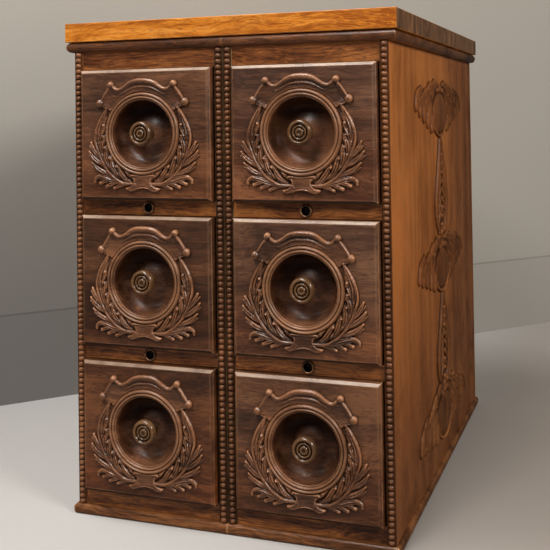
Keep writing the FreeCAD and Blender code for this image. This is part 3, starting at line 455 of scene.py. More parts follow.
def oak(name, dark, mid, light, axis="X", seed=0.0, rough=0.38, coat=0.35, pore=0.6, grain=1.0, wear_and_highlight=0.5, wear_and_highlight_col=None, attr=False, bump=1.0, painted_light_pool=None, spec=0.30,
        blotch=1.0, bands=26.0, end_col=None, spread=0.10, coat_rough=0.16, fade=None, painted_bevel_highlight=None, painted_chin_shade=None, nose=None):
    """Open-grained oak under old shellac. axis is the way the grain runs. dark, mid and light are its colours;
    wear_and_highlight_col shows where edges are rubbed, and on crests and chamfers it also stands as a painted
    highlight.
    attr: the mesh carries its own 'wear' and 'cavity' values, which make crests paler and hollows darker: partly
    rubbing and dirt, partly painted highlight and painted shade. glow: (centre, radius, colour) of a warmer, brighter
    area, a painted pool of light."""
    T = Tree(name)
    co = T.new("ShaderNodeTexCoord").outputs["Object"]
    rng = np.random.default_rng(int(seed * 977) + 5)
    off = tuple(float(x) for x in rng.uniform(-3, 3, 3))
    # waviness of the grain
    wv = T.noise(T.scaled(co, (1, 1, 1), off), 9.0, 2.0, 0.5)
    long = {"X": (0.055, 1, 1), "Y": (1, 0.055, 1), "Z": (1, 1, 0.055)}[axis]
    finer = {"X": (0.045, 1, 1), "Y": (1, 0.045, 1), "Z": (1, 1, 0.045)}[axis]
    # shift across the grain by a slow noise, so that the figure wanders
    sep = T.new("ShaderNodeSeparateXYZ")
    T.link(co, sep.inputs[0])
    wav = T.math("MULTIPLY", T.math("SUBTRACT", wv, 0.5), 0.030)
    comb = T.new("ShaderNodeCombineXYZ")
    for i, ax in enumerate("XYZ"):
        T.link(sep.outputs[i] if ax == axis else T.math("ADD", sep.outputs[i], wav), comb.inputs[i])
    p = comb.outputs[0]
    rings = T.noise(T.scaled(p, tuple(x * 1.0 for x in long), off), bands * 1.6, 3.0, 0.55, 0.6)
    rings2 = T.noise(T.scaled(p, long, tuple(o + 2.0 for o in off)), bands * 6.5, 3.0, 0.6)
    fine = T.noise(T.scaled(p, tuple(x * (1.0 if x == 1 else 1.7) for x in finer), tuple(o + 5.0 for o in off)), 760.0, 2.0, 0.6)
    pores = T.noise(T.scaled(p, tuple(x * (1.0 if x == 1 else 1.7) for x in finer), tuple(o - 4.0 for o in off)), 1700.0, 2.0, 0.5)
    big = T.noise(T.scaled(co, (1, 1, 1), tuple(o + 9.0 for o in off)), 6.0, 3.0, 0.6)
    mids = T.noise(T.scaled(co, (1, 1, 1), tuple(o - 7.0 for o in off)), 28.0, 4.0, 0.6)
    figure = T.math("ADD", T.math("MULTIPLY", rings, 0.42), T.math("ADD", T.math("MULTIPLY", rings2, 0.30), T.math("MULTIPLY", fine, 0.28)))
    figure = T.math("ADD", T.math("MULTIPLY", T.math("SUBTRACT", figure, 0.5), grain), 0.5)
    figure = T.math("ADD", figure, T.math("MULTIPLY", T.math("SUBTRACT", big, 0.5), 0.35 * blotch))
    col = T.ramp(figure, [(0.5 - spread, dark), (0.5, mid), (0.5 + spread, light)])
    # pores: short dark dashes along the grain, gathered in bands
    pm = T.math("MULTIPLY", T.step(pores, 0.56, 0.66), T.step(rings2, 0.36, 0.6))
    col = T.mix(T.math("MULTIPLY", pm, pore), col, tuple(c * 0.25 for c in dark[:3]) + (1,))
    # grime and colour drift
    col = T.mix(T.math("MULTIPLY", T.step(mids, 0.5, 0.72), 0.35 * blotch), col, tuple(c * 0.55 for c in dark[:3]) + (1,))
    # a warmer, brighter area round a point: a painted pool of light
    if painted_light_pool:
        centre, radius, gcol = painted_light_pool
        dist = T.new("ShaderNodeVectorMath", operation="DISTANCE")
        T.link(co, dist.inputs[0])
        dist.inputs[1].default_value = centre
        g = T.step(T.math("ADD", dist.outputs["Value"], T.math("MULTIPLY", T.math("SUBTRACT", big, 0.5), radius * 0.9)), radius, radius * 0.25)
        col = T.mix(T.math("MULTIPLY", g, 0.9), col, T.mix(1.0, gcol, T.ramp(figure, [(0.5 - spread, (0.62, 0.58, 0.52)), (0.5, (0.98, 0.98, 0.98)), (0.5 + spread, (1.28, 1.22, 1.12))]), blend="MULTIPLY"))
    if fade:      # tint of the foot of the piece, between two heights; on the drawer fronts it is painted light, the foot kept warm where a grey sheen lies on the upper part
        zz = T.new("ShaderNodeSeparateXYZ")
        T.link(co, zz.inputs[0])
        f = T.step(T.math("ADD", zz.outputs[2], T.math("MULTIPLY", T.math("SUBTRACT", big, 0.5), 0.10)), fade[0], fade[1], 1.0, 0.0)
        col = T.mix(f, col, fade[2], blend="MULTIPLY")
    wear_and_highlight_col = wear_and_highlight_col or light
    if attr:
        # the mesh's own values: hollows darkened, partly dirt and partly painted shade; crests made paler, partly
        # rubbed and partly painted highlight
        a = T.new("ShaderNodeAttribute", attribute_name="wear_and_highlight").outputs["Fac"]
        cav = T.new("ShaderNodeAttribute", attribute_name="dirt_and_shade").outputs["Fac"]
        col = T.mix(T.math("MULTIPLY", cav, 0.85), col, tuple(c * 0.22 for c in dark[:3]) + (1,))
        wm = T.math("MULTIPLY", a, T.step(mids, 0.30, 0.62, 0.35, 1.0))
        col = T.mix(T.math("MULTIPLY", wm, wear_and_highlight), col, wear_and_highlight_col)
    else:
        # paler edges, found with a bevel: rubbed edges, and on the drawer fronts' chamfers also a painted highlight
        bv = T.new("ShaderNodeBevel", samples=4)
        bv.inputs["Radius"].default_value = 0.0022
        geo = T.new("ShaderNodeNewGeometry")
        dot = T.new("ShaderNodeVectorMath", operation="DOT_PRODUCT")
        T.link(bv.outputs[0], dot.inputs[0])
        T.link(geo.outputs["Normal"], dot.inputs[1])
        edge = T.step(dot.outputs["Value"], 0.995, 0.90)
        wm = T.math("MULTIPLY", edge, T.step(mids, 0.32, 0.60, 0.1, 1.0))
        col = T.mix(T.math("MULTIPLY", wm, wear_and_highlight), col, wear_and_highlight_col)
        if painted_bevel_highlight:      # the upper bevel is painted palest: a painted highlight where the light from above catches it
            nz = T.new("ShaderNodeSeparateXYZ")
            T.link(geo.outputs["True Normal"], nz.inputs[0])
            up = T.math("MULTIPLY", T.step(nz.outputs[2], 0.25, 0.55), T.step(nz.outputs[1], -0.05, -0.25))
            col = T.mix(T.math("MULTIPLY", up, T.step(mids, 0.30, 0.62, 0.25, 0.90)), col, painted_bevel_highlight)
    if end_col:
        geo2 = T.new("ShaderNodeNewGeometry")
        sx = T.new("ShaderNodeSeparateXYZ")
        T.link(geo2.outputs["True Normal"], sx.inputs[0])
        k = {"X": 0, "Y": 1, "Z": 2}[axis]
        endm = T.step(T.math("ABSOLUTE", sx.outputs[k]), 0.75, 0.9)
        e1 = T.noise(T.scaled(co, (12, 12, 3.2)), 9.0, 4.0, 0.68, 0.8)
        ecol = T.ramp(e1, [(0.36, tuple(c * 0.45 for c in end_col[:3])), (0.5, end_col[:3]), (0.64, tuple(min(1, c * 1.6) for c in end_col[:3]))])
        col = T.mix(endm, col, ecol)
    if painted_chin_shade or nose:      # chin colour: a bevel that faces down, painted shade under the drawer fronts. nose colour: the edge that faces the user; on the inner walls painted shade in the gap between the banks, on the outer walls a darker front edge
        geo3 = T.new("ShaderNodeNewGeometry")
        n3 = T.new("ShaderNodeSeparateXYZ")
        T.link(geo3.outputs["True Normal"], n3.inputs[0])
        if painted_chin_shade:
            col = T.mix(T.math("MULTIPLY", T.step(n3.outputs[2], -0.2, -0.5), 0.85), col, painted_chin_shade)
        if nose:
            col = T.mix(T.math("MULTIPLY", T.step(n3.outputs[1], -0.5, -0.8), T.step(mids, 0.2, 0.75, 1.0, 0.8)), col, nose)
    bsdf = T.new("ShaderNodeBsdfPrincipled")
    T.link(col, bsdf.inputs["Base Color"])
    r = T.math("ADD", T.math("MULTIPLY", T.math("SUBTRACT", mids, 0.5), 0.30), T.math("ADD", T.math("MULTIPLY", pm, 0.18), rough), clamp=True)
    T.link(r, bsdf.inputs["Roughness"])
    if attr:      # the darkened hollows, dirt and painted shade, have no shine
        clean = T.math("SUBTRACT", 1.0, T.math("MULTIPLY", cav, 0.85), clamp=True)
        T.link(T.math("MULTIPLY", clean, spec), bsdf.inputs["Specular IOR Level"])
        T.link(T.math("MULTIPLY", clean, coat), bsdf.inputs["Coat Weight"])
    else:
        bsdf.inputs["Specular IOR Level"].default_value = spec
        bsdf.inputs["Coat Weight"].default_value = coat
    bsdf.inputs["Coat Roughness"].default_value = coat_rough
    b1 = T.new("ShaderNodeBump")
    b1.inputs["Strength"].default_value = 0.35 * bump
    b1.inputs["Distance"].default_value = 0.00018
    T.link(T.math("SUBTRACT", T.math("MULTIPLY", fine, 0.5), pm), b1.inputs["Height"])
    b2 = T.new("ShaderNodeBump")
    b2.inputs["Strength"].default_value = 0.5 * bump
    b2.inputs["Distance"].default_value = 0.0010
    T.link(T.math("ADD", T.math("MULTIPLY", mids, 0.5), T.math("MULTIPLY", rings2, 0.5)), b2.inputs["Height"])
    T.link(b1.outputs[0], b2.inputs["Normal"])
    T.link(b2.outputs[0], bsdf.inputs["Normal"])
    T.link(b2.outputs[0], bsdf.inputs["Coat Normal"])
    T.link(bsdf.outputs[0], T.out.inputs[0])
    return T.mat


def metal(name, base, rough=0.42, tarnish=(0.02, 0.018, 0.016, 1), seed=0.0, metallic=0.85, attr=False):
    """Old metal, tarnished in patches and darkened in the lows."""
    T = Tree(name)
    co = T.new("ShaderNodeTexCoord").outputs["Object"]
    n1 = T.noise(T.scaled(co, (1, 1, 1), (seed, 1, 2)), 260.0, 5.0, 0.65)
    n2 = T.noise(T.scaled(co, (1, 1, 1), (seed, 4, 2)), 1400.0, 3.0, 0.6)
    col = T.mix(T.step(n1, 0.40, 0.62), base, tarnish)
    shine = 1.0
    if attr:
        # the mesh's own values darken the hollows nearly black; on the keyhole rims this is painted shade in the bore
        cav = T.new("ShaderNodeAttribute", attribute_name="dirt_and_shade").outputs["Fac"]
        col = T.mix(cav, col, (0.0035, 0.0025, 0.002, 1))
        shine = T.math("SUBTRACT", 1.0, T.math("MULTIPLY", cav, 0.95), clamp=True)
    bsdf = T.new("ShaderNodeBsdfPrincipled")
    T.link(col, bsdf.inputs["Base Color"])
    bsdf.inputs["Metallic"].default_value = metallic
    if attr:
        T.link(T.math("MULTIPLY", shine, 0.5), bsdf.inputs["Specular IOR Level"])
    T.link(T.math("ADD", T.math("MULTIPLY", T.math("SUBTRACT", n1, 0.5), 0.4), rough, clamp=True), bsdf.inputs["Roughness"])
    b = T.new("ShaderNodeBump")
    b.inputs["Strength"].default_value = 0.4
    b.inputs["Distance"].default_value = 0.00012
    T.link(T.math("ADD", n1, T.math("MULTIPLY", n2, 0.5)), b.inputs["Height"])
    T.link(b.outputs[0], bsdf.inputs["Normal"])
    T.link(bsdf.outputs[0], T.out.inputs[0])
    return T.mat


# ---------------------------------------------------------------- mesh helpers
def build(name, verts, faces, mat, smooth=True, attrs=None):
    me = bpy.data.meshes.new(name)
    me.from_pydata([tuple(v) for v in verts], [], [tuple(f) for f in faces])
    me.update()
    if attrs:
        for key, vals in attrs.items():
            a = me.attributes.new(key, "FLOAT", "POINT")
            a.data.foreach_set("value", np.asarray(vals, dtype=np.float32))
    ob = bpy.data.objects.new(name, me)
    bpy.context.scene.collection.objects.link(ob)
    me.materials.append(mat)
    if smooth:
        me.polygons.foreach_set("use_smooth", [True] * len(me.polygons))
    return ob


def relief_mesh(name, R, place, mat, keep=None, floor=-0.35, back=0.9, noise=0.05, seed=1, warp=0.25):
    """Turns a relief into a closed piece: the carved surface, a skirt and a back. place(u, v, h) gives the point in metres."""
    rng = np.random.default_rng(seed)
    h = R.h.copy()
    small = blur(rng.normal(0, 1, h.shape), 2.2)
    small /= small.std()
    mid = blur(rng.normal(0, 1, h.shape), 7.0)
    mid /= mid.std()
    h = np.where(h > -0.3, blur(h, 0.55), h)
    body = np.clip(h / 0.8, 0, 1)
    h = h + (small * noise + mid * noise * 1.6) * body
    # crests are made paler, partly rubbed and partly painted highlight; hollows and low ground darker, partly dirt and
    # partly painted shade
    high = h - blur(np.maximum(h, 0), 1.0 / R.step)
    wide = h - blur(np.maximum(h, 0), 2.6 / R.step)
    wear_and_highlight = np.clip((high - 0.10) / 0.75, 0, 1) * np.clip(h / 1.2, 0, 1)
    dirt_and_shade = np.clip((-high - 0.10) / 0.55, 0, 1) * 0.8 + np.clip((-wide - 0.5) / 1.2, 0, 1) * 0.5
    dirt_and_shade = np.clip(dirt_and_shade * 1.3 + np.clip(1 - (h - 0.1) / 1.3, 0, 1) * 0.8, 0, 1)
    wu = blur(rng.normal(0, 1, h.shape), 22.0)
    wv = blur(rng.normal(0, 1, h.shape), 22.0)
    U = R.U + wu / wu.std() * warp * 0.5
    V = R.V + wv / wv.std() * warp * 0.5
    ok = h > floor
    cell = ok[:-1, :-1] | ok[1:, :-1] | ok[:-1, 1:] | ok[1:, 1:]
    if keep is not None:
        kk = keep(R.U, R.V)
        cell &= kk[:-1, :-1] & kk[1:, :-1] & kk[:-1, 1:] & kk[1:, 1:]
    ny, nx = h.shape
    used = np.zeros(h.shape, bool)
    used[:-1, :-1] |= cell
    used[1:, :-1] |= cell
    used[:-1, 1:] |= cell
    used[1:, 1:] |= cell
    idx = -np.ones(h.shape, int)
    idx[used] = np.arange(used.sum())
    top = place(U[used], V[used], np.maximum(h[used], floor))
    j, i = np.nonzero(cell)
    quads = np.stack([idx[j, i], idx[j, i + 1], idx[j + 1, i + 1], idx[j + 1, i]], 1)
    # boundary edges of the kept cells
    e = np.concatenate([quads[:, [0, 1]], quads[:, [1, 2]], quads[:, [2, 3]], quads[:, [3, 0]]])
    key = np.sort(e, 1)
    _, inv, cnt = np.unique(key, axis=0, return_inverse=True, return_counts=True)
    rim = e[cnt[inv.ravel()] == 1]
    count = int(used.sum())
    bottom = place(U[used], V[used], np.full(count, -back))
    verts = np.vstack([top, bottom])
    skirt = np.stack([rim[:, 1], rim[:, 0], rim[:, 0] + count, rim[:, 1] + count], 1)
    under = quads[:, ::-1] + count
    me = bpy.data.meshes.new(name)
    me.from_pydata(verts.tolist(), [], quads.tolist() + skirt.tolist() + under.tolist())
    bm = bmesh.new()
    bm.from_mesh(me)
    bmesh.ops.recalc_face_normals(bm, faces=bm.faces)
    bm.to_mesh(me)
    bm.free()
    for key2, vals in (("wear_and_highlight", wear_and_highlight[used]), ("dirt_and_shade", dirt_and_shade[used])):
        a = me.attributes.new(key2, "FLOAT", "POINT")
        full = np.zeros(len(me.vertices), np.float32)
        full[:len(vals)] = vals
        a.data.foreach_set("value", full)
    ob = bpy.data.objects.new(name, me)
    bpy.context.scene.collection.objects.link(ob)
    me.materials.append(mat)
    me.polygons.foreach_set("use_smooth", [True] * len(me.polygons))
    return ob


def lathe(name, profile, centre, mat, seg=160, wobble=0.0, seed=0, hollow=None):
    """A turned piece. profile is a closed half outline of (radius, depth towards the user) in millimetres, about an axis along Y through centre."""
    rng = np.random.default_rng(seed)
    pr = np.array(profile, float)
    n = len(pr)
    th = np.linspace(0, 2 * math.pi, seg, endpoint=False)
    wob = 1 + wobble * (np.sin(2 * th + rng.uniform(0, 6)) + 0.5 * np.sin(3 * th + rng.uniform(0, 6)))
    verts, faces = [], []
    ringidx = []
    for k, (r, d) in enumerate(pr):
        if r < 1e-6:
            ringidx.append([len(verts)] * seg)
            verts.append((centre[0], centre[1] - d * MM, centre[2]))
        else:
            base = len(verts)
            ringidx.append(list(range(base, base + seg)))
            for a, w in zip(th, wob):
                verts.append((centre[0] + r * w * MM * math.cos(a), centre[1] - d * MM, centre[2] + r * w * MM * math.sin(a)))
    closed = pr[0][0] > 1e-6
    spans = range(n) if closed else range(n - 1)
    for k in spans:
        A, B = ringidx[k], ringidx[(k + 1) % n]
        for s in range(seg):
            t = (s + 1) % seg
            f = [A[s], A[t], B[t], B[s]]
            f2 = []
            for x in f:
                if x not in f2:
                    f2.append(x)
            if len(f2) >= 3:
                faces.append(f2)
    # crests made paler and hollows darker, from the bend of the outline: partly rubbing and dirt, partly painted
    # highlight and painted shade
    bend = np.zeros(n)
    for k in range(n):
        a, b, c = pr[k - 1], pr[k], pr[(k + 1) % n]
        v1, v2 = b - a, c - b
        L = (np.linalg.norm(v1) + np.linalg.norm(v2)) / 2 + 1e-9
        bend[k] = (v1[0] * v2[1] - v1[1] * v2[0]) / (np.linalg.norm(v1) * np.linalg.norm(v2) + 1e-9) / L
    wear_and_highlight = np.zeros(len(verts))
    cav = np.zeros(len(verts))
    for k in range(n):
        for x in set(ringidx[k]):
            wear_and_highlight[x] = max(0.0, min(1.0, bend[k] * 1.6))
            cav[x] = max(0.0, min(1.0, -bend[k] * 1.8))
    if hollow:
        for k, (r, d) in enumerate(pr):
            for j, x in enumerate(ringidx[k]):
                v = hollow(r, d, th[j])      # above 0 darkens, below 0 lightens: painted shade and painted light in the bowls and keyholes, with some dirt in the bowls
                cav[x] = max(cav[x], v)
                wear_and_highlight[x] = max(wear_and_highlight[x], -v)
    ob = build(name, verts, faces, mat, True, {"wear_and_highlight": wear_and_highlight, "dirt_and_shade": cav})
    bm = bmesh.new()
    bm.from_mesh(ob.data)
    bmesh.ops.recalc_face_normals(bm, faces=bm.faces)
    bm.to_mesh(ob.data)
    bm.free()
    ob.data.polygons.foreach_set("use_smooth", [True] * len(ob.data.polygons))
    return ob


def spline(pts, n=6):
    """A smooth outline through these profile points."""
    return [tuple(p) for p in curve(pts, n)]


def paint(node, mat):
    ob = NODES[node]
    if ob.material_slots:
        for s in ob.material_slots:
            s.material = mat
    else:
        ob.data.materials.append(mat)
    return ob


def ease(node, width=0.45, seg=3, angle=32):
    """Softens a CAD part's sharp edges, as handling has."""
    ob = NODES[node]
    w = ob.modifiers.new("weld", "WELD")
    w.merge_threshold = 1e-6
    b = ob.modifiers.new("soft_edges", "BEVEL")
    b.width = width * MM
    b.segments = seg
    b.limit_method = "ANGLE"
    b.angle_limit = math.radians(angle)
    b.use_clamp_overlap = True
    b.harden_normals = True
    return ob


# ---------------------------------------------------------------- colours
RAW = dict(dark=srgb(92, 62, 36), mid=srgb(138, 100, 62), light=srgb(168, 128, 84))
M = {}
M["plank"] = oak("plank_oak", srgb(150, 78, 20), srgb(204, 122, 36), srgb(228, 150, 62), "X", 1.3, 0.36, 0.2, 0.6, 1.2, 0.35, srgb(236, 172, 96), bands=30, blotch=0.7,
                 end_col=srgb(112, 78, 52), spec=0.22)
M["cap"] = oak("cap_oak", srgb(50, 26, 13), srgb(90, 52, 28), srgb(124, 76, 43), "X", 2.1, 0.36, 0.2, 0.5, 1.0, 0.7, srgb(172, 112, 66), blotch=0.9)
M["base"] = oak("base_oak", srgb(50, 27, 13), srgb(96, 56, 30), srgb(140, 88, 48), "X", 2.7, 0.36, 0.2, 0.5, 1.1, 0.95, srgb(212, 152, 98), blotch=1.2)
M["rail"] = oak("rail_oak", srgb(66, 33, 15), srgb(118, 66, 31), srgb(168, 103, 50), "X", 3.2, 0.38, 0.2, 0.7, 1.25, 0.5, srgb(168, 112, 62), blotch=0.6, spread=0.10)
SIDE_TONE = (srgb(99, 56, 29), srgb(131, 79, 42), srgb(162, 102, 55))
FOOT = (0.02, 0.46, (0.76, 0.75, 0.84, 1))
# painted pool of light on the front upper part of the right wall
PAINTED_LIGHT_POOL = ((0.165, -0.15, 0.34), 0.35, srgb(180, 110, 54))
M["side"] = oak("side_oak", *SIDE_TONE, "Z", 4.4, 0.42, 0.10, 0.6, 0.85, 0.5, srgb(176, 112, 62), blotch=1.5, nose=srgb(58, 34, 19), painted_light_pool=PAINTED_LIGHT_POOL, spec=0.14, spread=0.12, fade=FOOT)
M["side_l"] = oak("side_oak_left", *SIDE_TONE, "Z", 5.4, 0.42, 0.10, 0.6, 0.85, 0.5, srgb(176, 112, 62), blotch=1.5, nose=srgb(58, 34, 19), spec=0.14, spread=0.12, fade=FOOT)
M["inner"] = oak("inner_oak", RAW["dark"], RAW["mid"], RAW["light"], "Y", 6.1, 0.62, 0.0, 0.6, 1.0, 0.2, blotch=0.8, spec=0.2)
# the front edges of the inner walls are painted near black: painted shade in the gap between the banks
M["inner_side"] = oak("inner_side_oak", RAW["dark"], RAW["mid"], RAW["light"], "Z", 6.3, 0.55, 0.0, 0.6, 1.0, 0.0, blotch=0.8, spec=0.15, nose=srgb(24, 14, 8))
M["inner_z"] = oak("panel_oak", RAW["dark"], RAW["mid"], RAW["light"], "Z", 6.6, 0.62, 0.0, 0.6, 1.0, 0.2, blotch=1.0, spec=0.2)
M["carved"] = oak("carved_oak", srgb(56, 32, 19), srgb(93, 57, 36), srgb(126, 82, 53), "X", 7.7, 0.35, 0.25, 0.35, 0.9, 0.72, srgb(186, 126, 84), attr=True, bump=0.9, blotch=1.2, spec=0.5)
# the ornament of the right wall takes the same painted pool of light
M["carved_side"] = oak("carved_oak_side", srgb(64, 37, 21), srgb(97, 58, 33), srgb(126, 79, 44), "Z", 8.7, 0.50, 0.04, 0.4, 0.8, 0.7, srgb(196, 126, 70), attr=True, bump=0.8, blotch=1.0, spec=0.14,
                       painted_light_pool=((0.165, -0.15, 0.33), 0.26, srgb(126, 74, 39)))
M["turned"] = oak("turned_oak", srgb(56, 29, 16), srgb(94, 56, 35), srgb(128, 82, 54), "X", 9.3, 0.40, 0.22, 0.5, 1.1, 0.45, srgb(176, 126, 88), attr=True, bump=0.7, blotch=1.1, coat_rough=0.26, spec=0.42)
M["knob"] = oak("knob_oak", srgb(40, 25, 14), srgb(72, 48, 29), srgb(100, 70, 44), "X", 9.8, 0.26, 0.45, 0.4, 0.8, 0.4, srgb(150, 108, 70), attr=True, bump=0.6, blotch=0.9, coat_rough=0.12)
M["bead"] = oak("bead_oak", srgb(54, 29, 15), srgb(102, 61, 35), srgb(142, 90, 54), "Z", 10.1, 0.38, 0.28, 0.2, 0.7, 0.8, srgb(176, 120, 76), attr=True, bump=0.6, blotch=1.2, coat_rough=0.2)
M["iron"] = metal("dark_iron", srgb(52, 40, 32), 0.50, srgb(26, 18, 13), metallic=0.5)
M["rim"] = metal("keyhole_brass", srgb(150, 108, 74), 0.36, srgb(66, 44, 28), metallic=0.4, attr=True)
M["steel"] = metal("screw_steel", srgb(150, 146, 138), 0.42, srgb(70, 52, 38), 3.0)

# ---------------------------------------------------------------- CAD parts that stay
for n, k in (("top_board", "plank"), ("left_cap_board", "cap"), ("right_cap_board", "cap"), ("left_base_board", "base"), ("right_base_board", "base"),
             ("left_outer_side", "side_l"), ("right_outer_side", "side"), ("left_inner_side", "inner_side"), ("right_inner_side", "inner_side"),
             ("left_back_panel", "inner_z"), ("right_back_panel", "inner_z"), ("front_rails", "rail"), ("drawer_runners", "inner"), ("case_screws", "steel")):
    paint(n, M[k])
ease("top_board", 0.9)
ease("front_rails", 0.4)
for n in ("left_outer_side", "right_outer_side", "left_inner_side", "right_inner_side"):
    ease(n, 0.5)
for n in NODES:
    if n.endswith("lock_tongue"):
        paint(n, M["iron"])
        ease(n, 0.2, 2)

# ---------------------------------------------------------------- drawers
FRONT = front_relief(0.3)
CUP = (spline([(34.0, -19.3), (34.05, -10.0), (34.0, 0.2)], 2)
       + spline([(36.5, 0.15), (40.0, 0.1), (40.45, 0.9), (40.3, 2.3), (39.7, 3.5), (38.8, 4.1), (37.9, 3.8), (37.3, 3.0), (37.0, 2.4)], 5)
       + spline([(36.8, 2.5), (36.5, 3.2), (36.0, 3.7), (35.4, 3.8), (34.8, 3.5), (34.3, 2.8), (34.05, 2.1)], 4)
       + spline([(33.8, 2.2), (33.4, 2.3), (33.0, 1.6), (32.7, -0.8), (31.9, -4.0), (30.2, -8.0), (27.6, -11.3), (24.2, -13.3), (20.8, -13.8), (17.8, -13.1),
                 (14.8, -11.7), (12.2, -10.4), (9.6, -9.4), (7.0, -8.9), (3.0, -8.8)], 5)
       + [(2.6, -12.0), (2.6, -19.3)])
KNOB = (spline([(0.0, -9.1), (4.0, -9.1), (6.8, -9.0)], 2)
        + spline([(7.1, -8.6), (6.3, -7.4), (5.6, -5.6), (5.4, -3.8), (5.9, -2.0), (7.5, -0.7), (9.8, 0.4), (11.5, 1.5), (12.15, 2.9), (12.1, 4.4), (11.6, 5.9), (10.7, 7.0), (9.7, 7.4), (8.9, 7.05),
                  (8.4, 6.3), (7.9, 5.7), (7.3, 5.8), (6.8, 6.35), (6.2, 6.65), (5.6, 6.45), (5.1, 5.9), (4.6, 5.7), (4.1, 6.05), (3.6, 6.6), (2.9, 6.95), (2.0, 6.8), (1.2, 6.35), (0.0, 6.15)], 4))
RIM = (spline([(4.35, -0.5), (4.5, -0.1), (4.9, 0.32), (5.4, 0.38), (5.9, 0.0), (6.3, -0.6), (6.42, -1.2), (6.42, -1.55)], 4) + [(4.94, -1.55), (4.94, -7.6), (3.08, -7.6), (3.08, -4.5), (3.87, -4.5)])

TONES = {  # each drawer front has its own dark, middle and light colour, and roughness
    "left_top_drawer": (srgb(64, 38, 24), srgb(98, 62, 40), srgb(128, 84, 56), 0.42),
    "right_top_drawer": (srgb(66, 40, 27), srgb(99, 65, 46), srgb(128, 88, 62), 0.42),
    "left_middle_drawer": (srgb(53, 31, 18), srgb(81, 49, 30), srgb(107, 68, 42), 0.42),
    "right_middle_drawer": (srgb(62, 38, 26), srgb(93, 61, 43), srgb(122, 83, 58), 0.42),
    "left_bottom_drawer": (srgb(54, 29, 15), srgb(85, 48, 26), srgb(116, 69, 38), 0.42),
    "right_bottom_drawer": (srgb(60, 36, 22), srgb(91, 57, 37), srgb(120, 78, 50), 0.42),
}
SEEDS = {n: i + 1 for i, n in enumerate(TONES)}
for name, (dk, md, lt, rg) in TONES.items():
    k = SEEDS[name]
    b0, b1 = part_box(name + "_front")
    # the foot of each front is tinted warm: painted light, leaving the upper part greyer as under a sheen
    front = oak("front_oak_" + name, dk, md, lt, "X", 11.0 + k * 1.37, rg, 0.2, 0.75, 1.0, 0.85, srgb(196, 146, 104), blotch=1.1, spec=0.4, bump=0.8, painted_bevel_highlight=srgb(164, 138, 117), painted_chin_shade=srgb(36, 20, 12),
                fade=(b0[2], b0[2] + 0.75 * (b1[2] - b0[2]), (1.32, 1.06, 0.78, 1) if name.startswith("right") else (1.02, 0.85, 0.66, 1)))
    paint(name + "_front", front)
    ease(name + "_front", 0.55)
    paint(name + "_box", M["inner"])
    paint(name + "_floor", M["inner"])
    lo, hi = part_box(name + "_pull_cup")
    cx, cz = (lo[0] + hi[0]) / 2, (lo[2] + hi[2]) / 2
    flo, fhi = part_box(name + "_front")
    face = flo[1]
    centre = (cx, face, cz)
    # the bowl is painted darker in its hollow: painted shade, most of all under its upper left lip, with old dirt and
    # darker end grain at its sides; its lower side is painted lighter, as painted light falling into it
    def bowl_shade_and_dirt(r, d, a):
        deep = min(1.0, max(0.0, (1.6 - d) / 5.0)) if r > 22.0 else min(1.0, max(0.0, (-d - 8.6) / 4.0))
        v = 0.56 + 0.42 * math.sin(a) - 0.16 * math.cos(a) + 0.10 * abs(math.cos(a))
        if r > 33.0:
            return 0.0
        return deep * min(0.92, v) if v > 0.22 else -deep * min(0.8, (0.22 - v) * 4.0)


    cup = lathe(name + "_cup_turned", CUP, centre, M["turned"], 192, 0.0008, k, bowl_shade_and_dirt)
    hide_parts(name + "_pull_cup")
    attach(cup, name)
    knob = lathe(name + "_knob_turned", KNOB, centre, M["knob"], 128, 0.0012, 20 + k)
    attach(knob, name)
    # the screw that holds the knob, seen from inside the drawer
    scr = lathe(name + "_knob_screw", [(0.0, -8.9), (1.75, -9.1), (1.8, -22.0), (2.6, -22.1), (3.9, -22.6), (4.1, -23.1), (3.4, -23.8), (1.6, -24.0), (0.0, -24.0)], centre, M["steel"], 48)
    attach(scr, name)
    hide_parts(name + "_knob")

    def place(u, v, h, centre=centre):
        return np.stack([centre[0] + u * MM, centre[1] - h * MM, centre[2] + v * MM], 1)

    carve = relief_mesh(name + "_wreath", FRONT, place, M["carved"], keep=lambda U, V: np.hypot(U, V) > 38.9, seed=40 + k)
    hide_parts(name + "_carving")
    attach(carve, name)

# ---------------------------------------------------------------- carved ornament of the outer walls
SIDE = side_relief(0.62)
for bank, s in (("left", -1), ("right", 1)):
    lo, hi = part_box(bank + "_outer_side")
    x = hi[0] if s > 0 else lo[0]
    yc = (lo[1] + hi[1]) / 2

    def place(u, v, h, x=x, s=s, yc=yc):
        return np.stack([x + s * h * MM, yc + u * MM, v * MM], 1)

    carve = relief_mesh(bank + "_side_ornament", SIDE, place, M["carved_side"], seed=70 + s, noise=0.07, warp=0.6, back=1.2)
    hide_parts(bank + "_side_carving")
    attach(carve, "case")

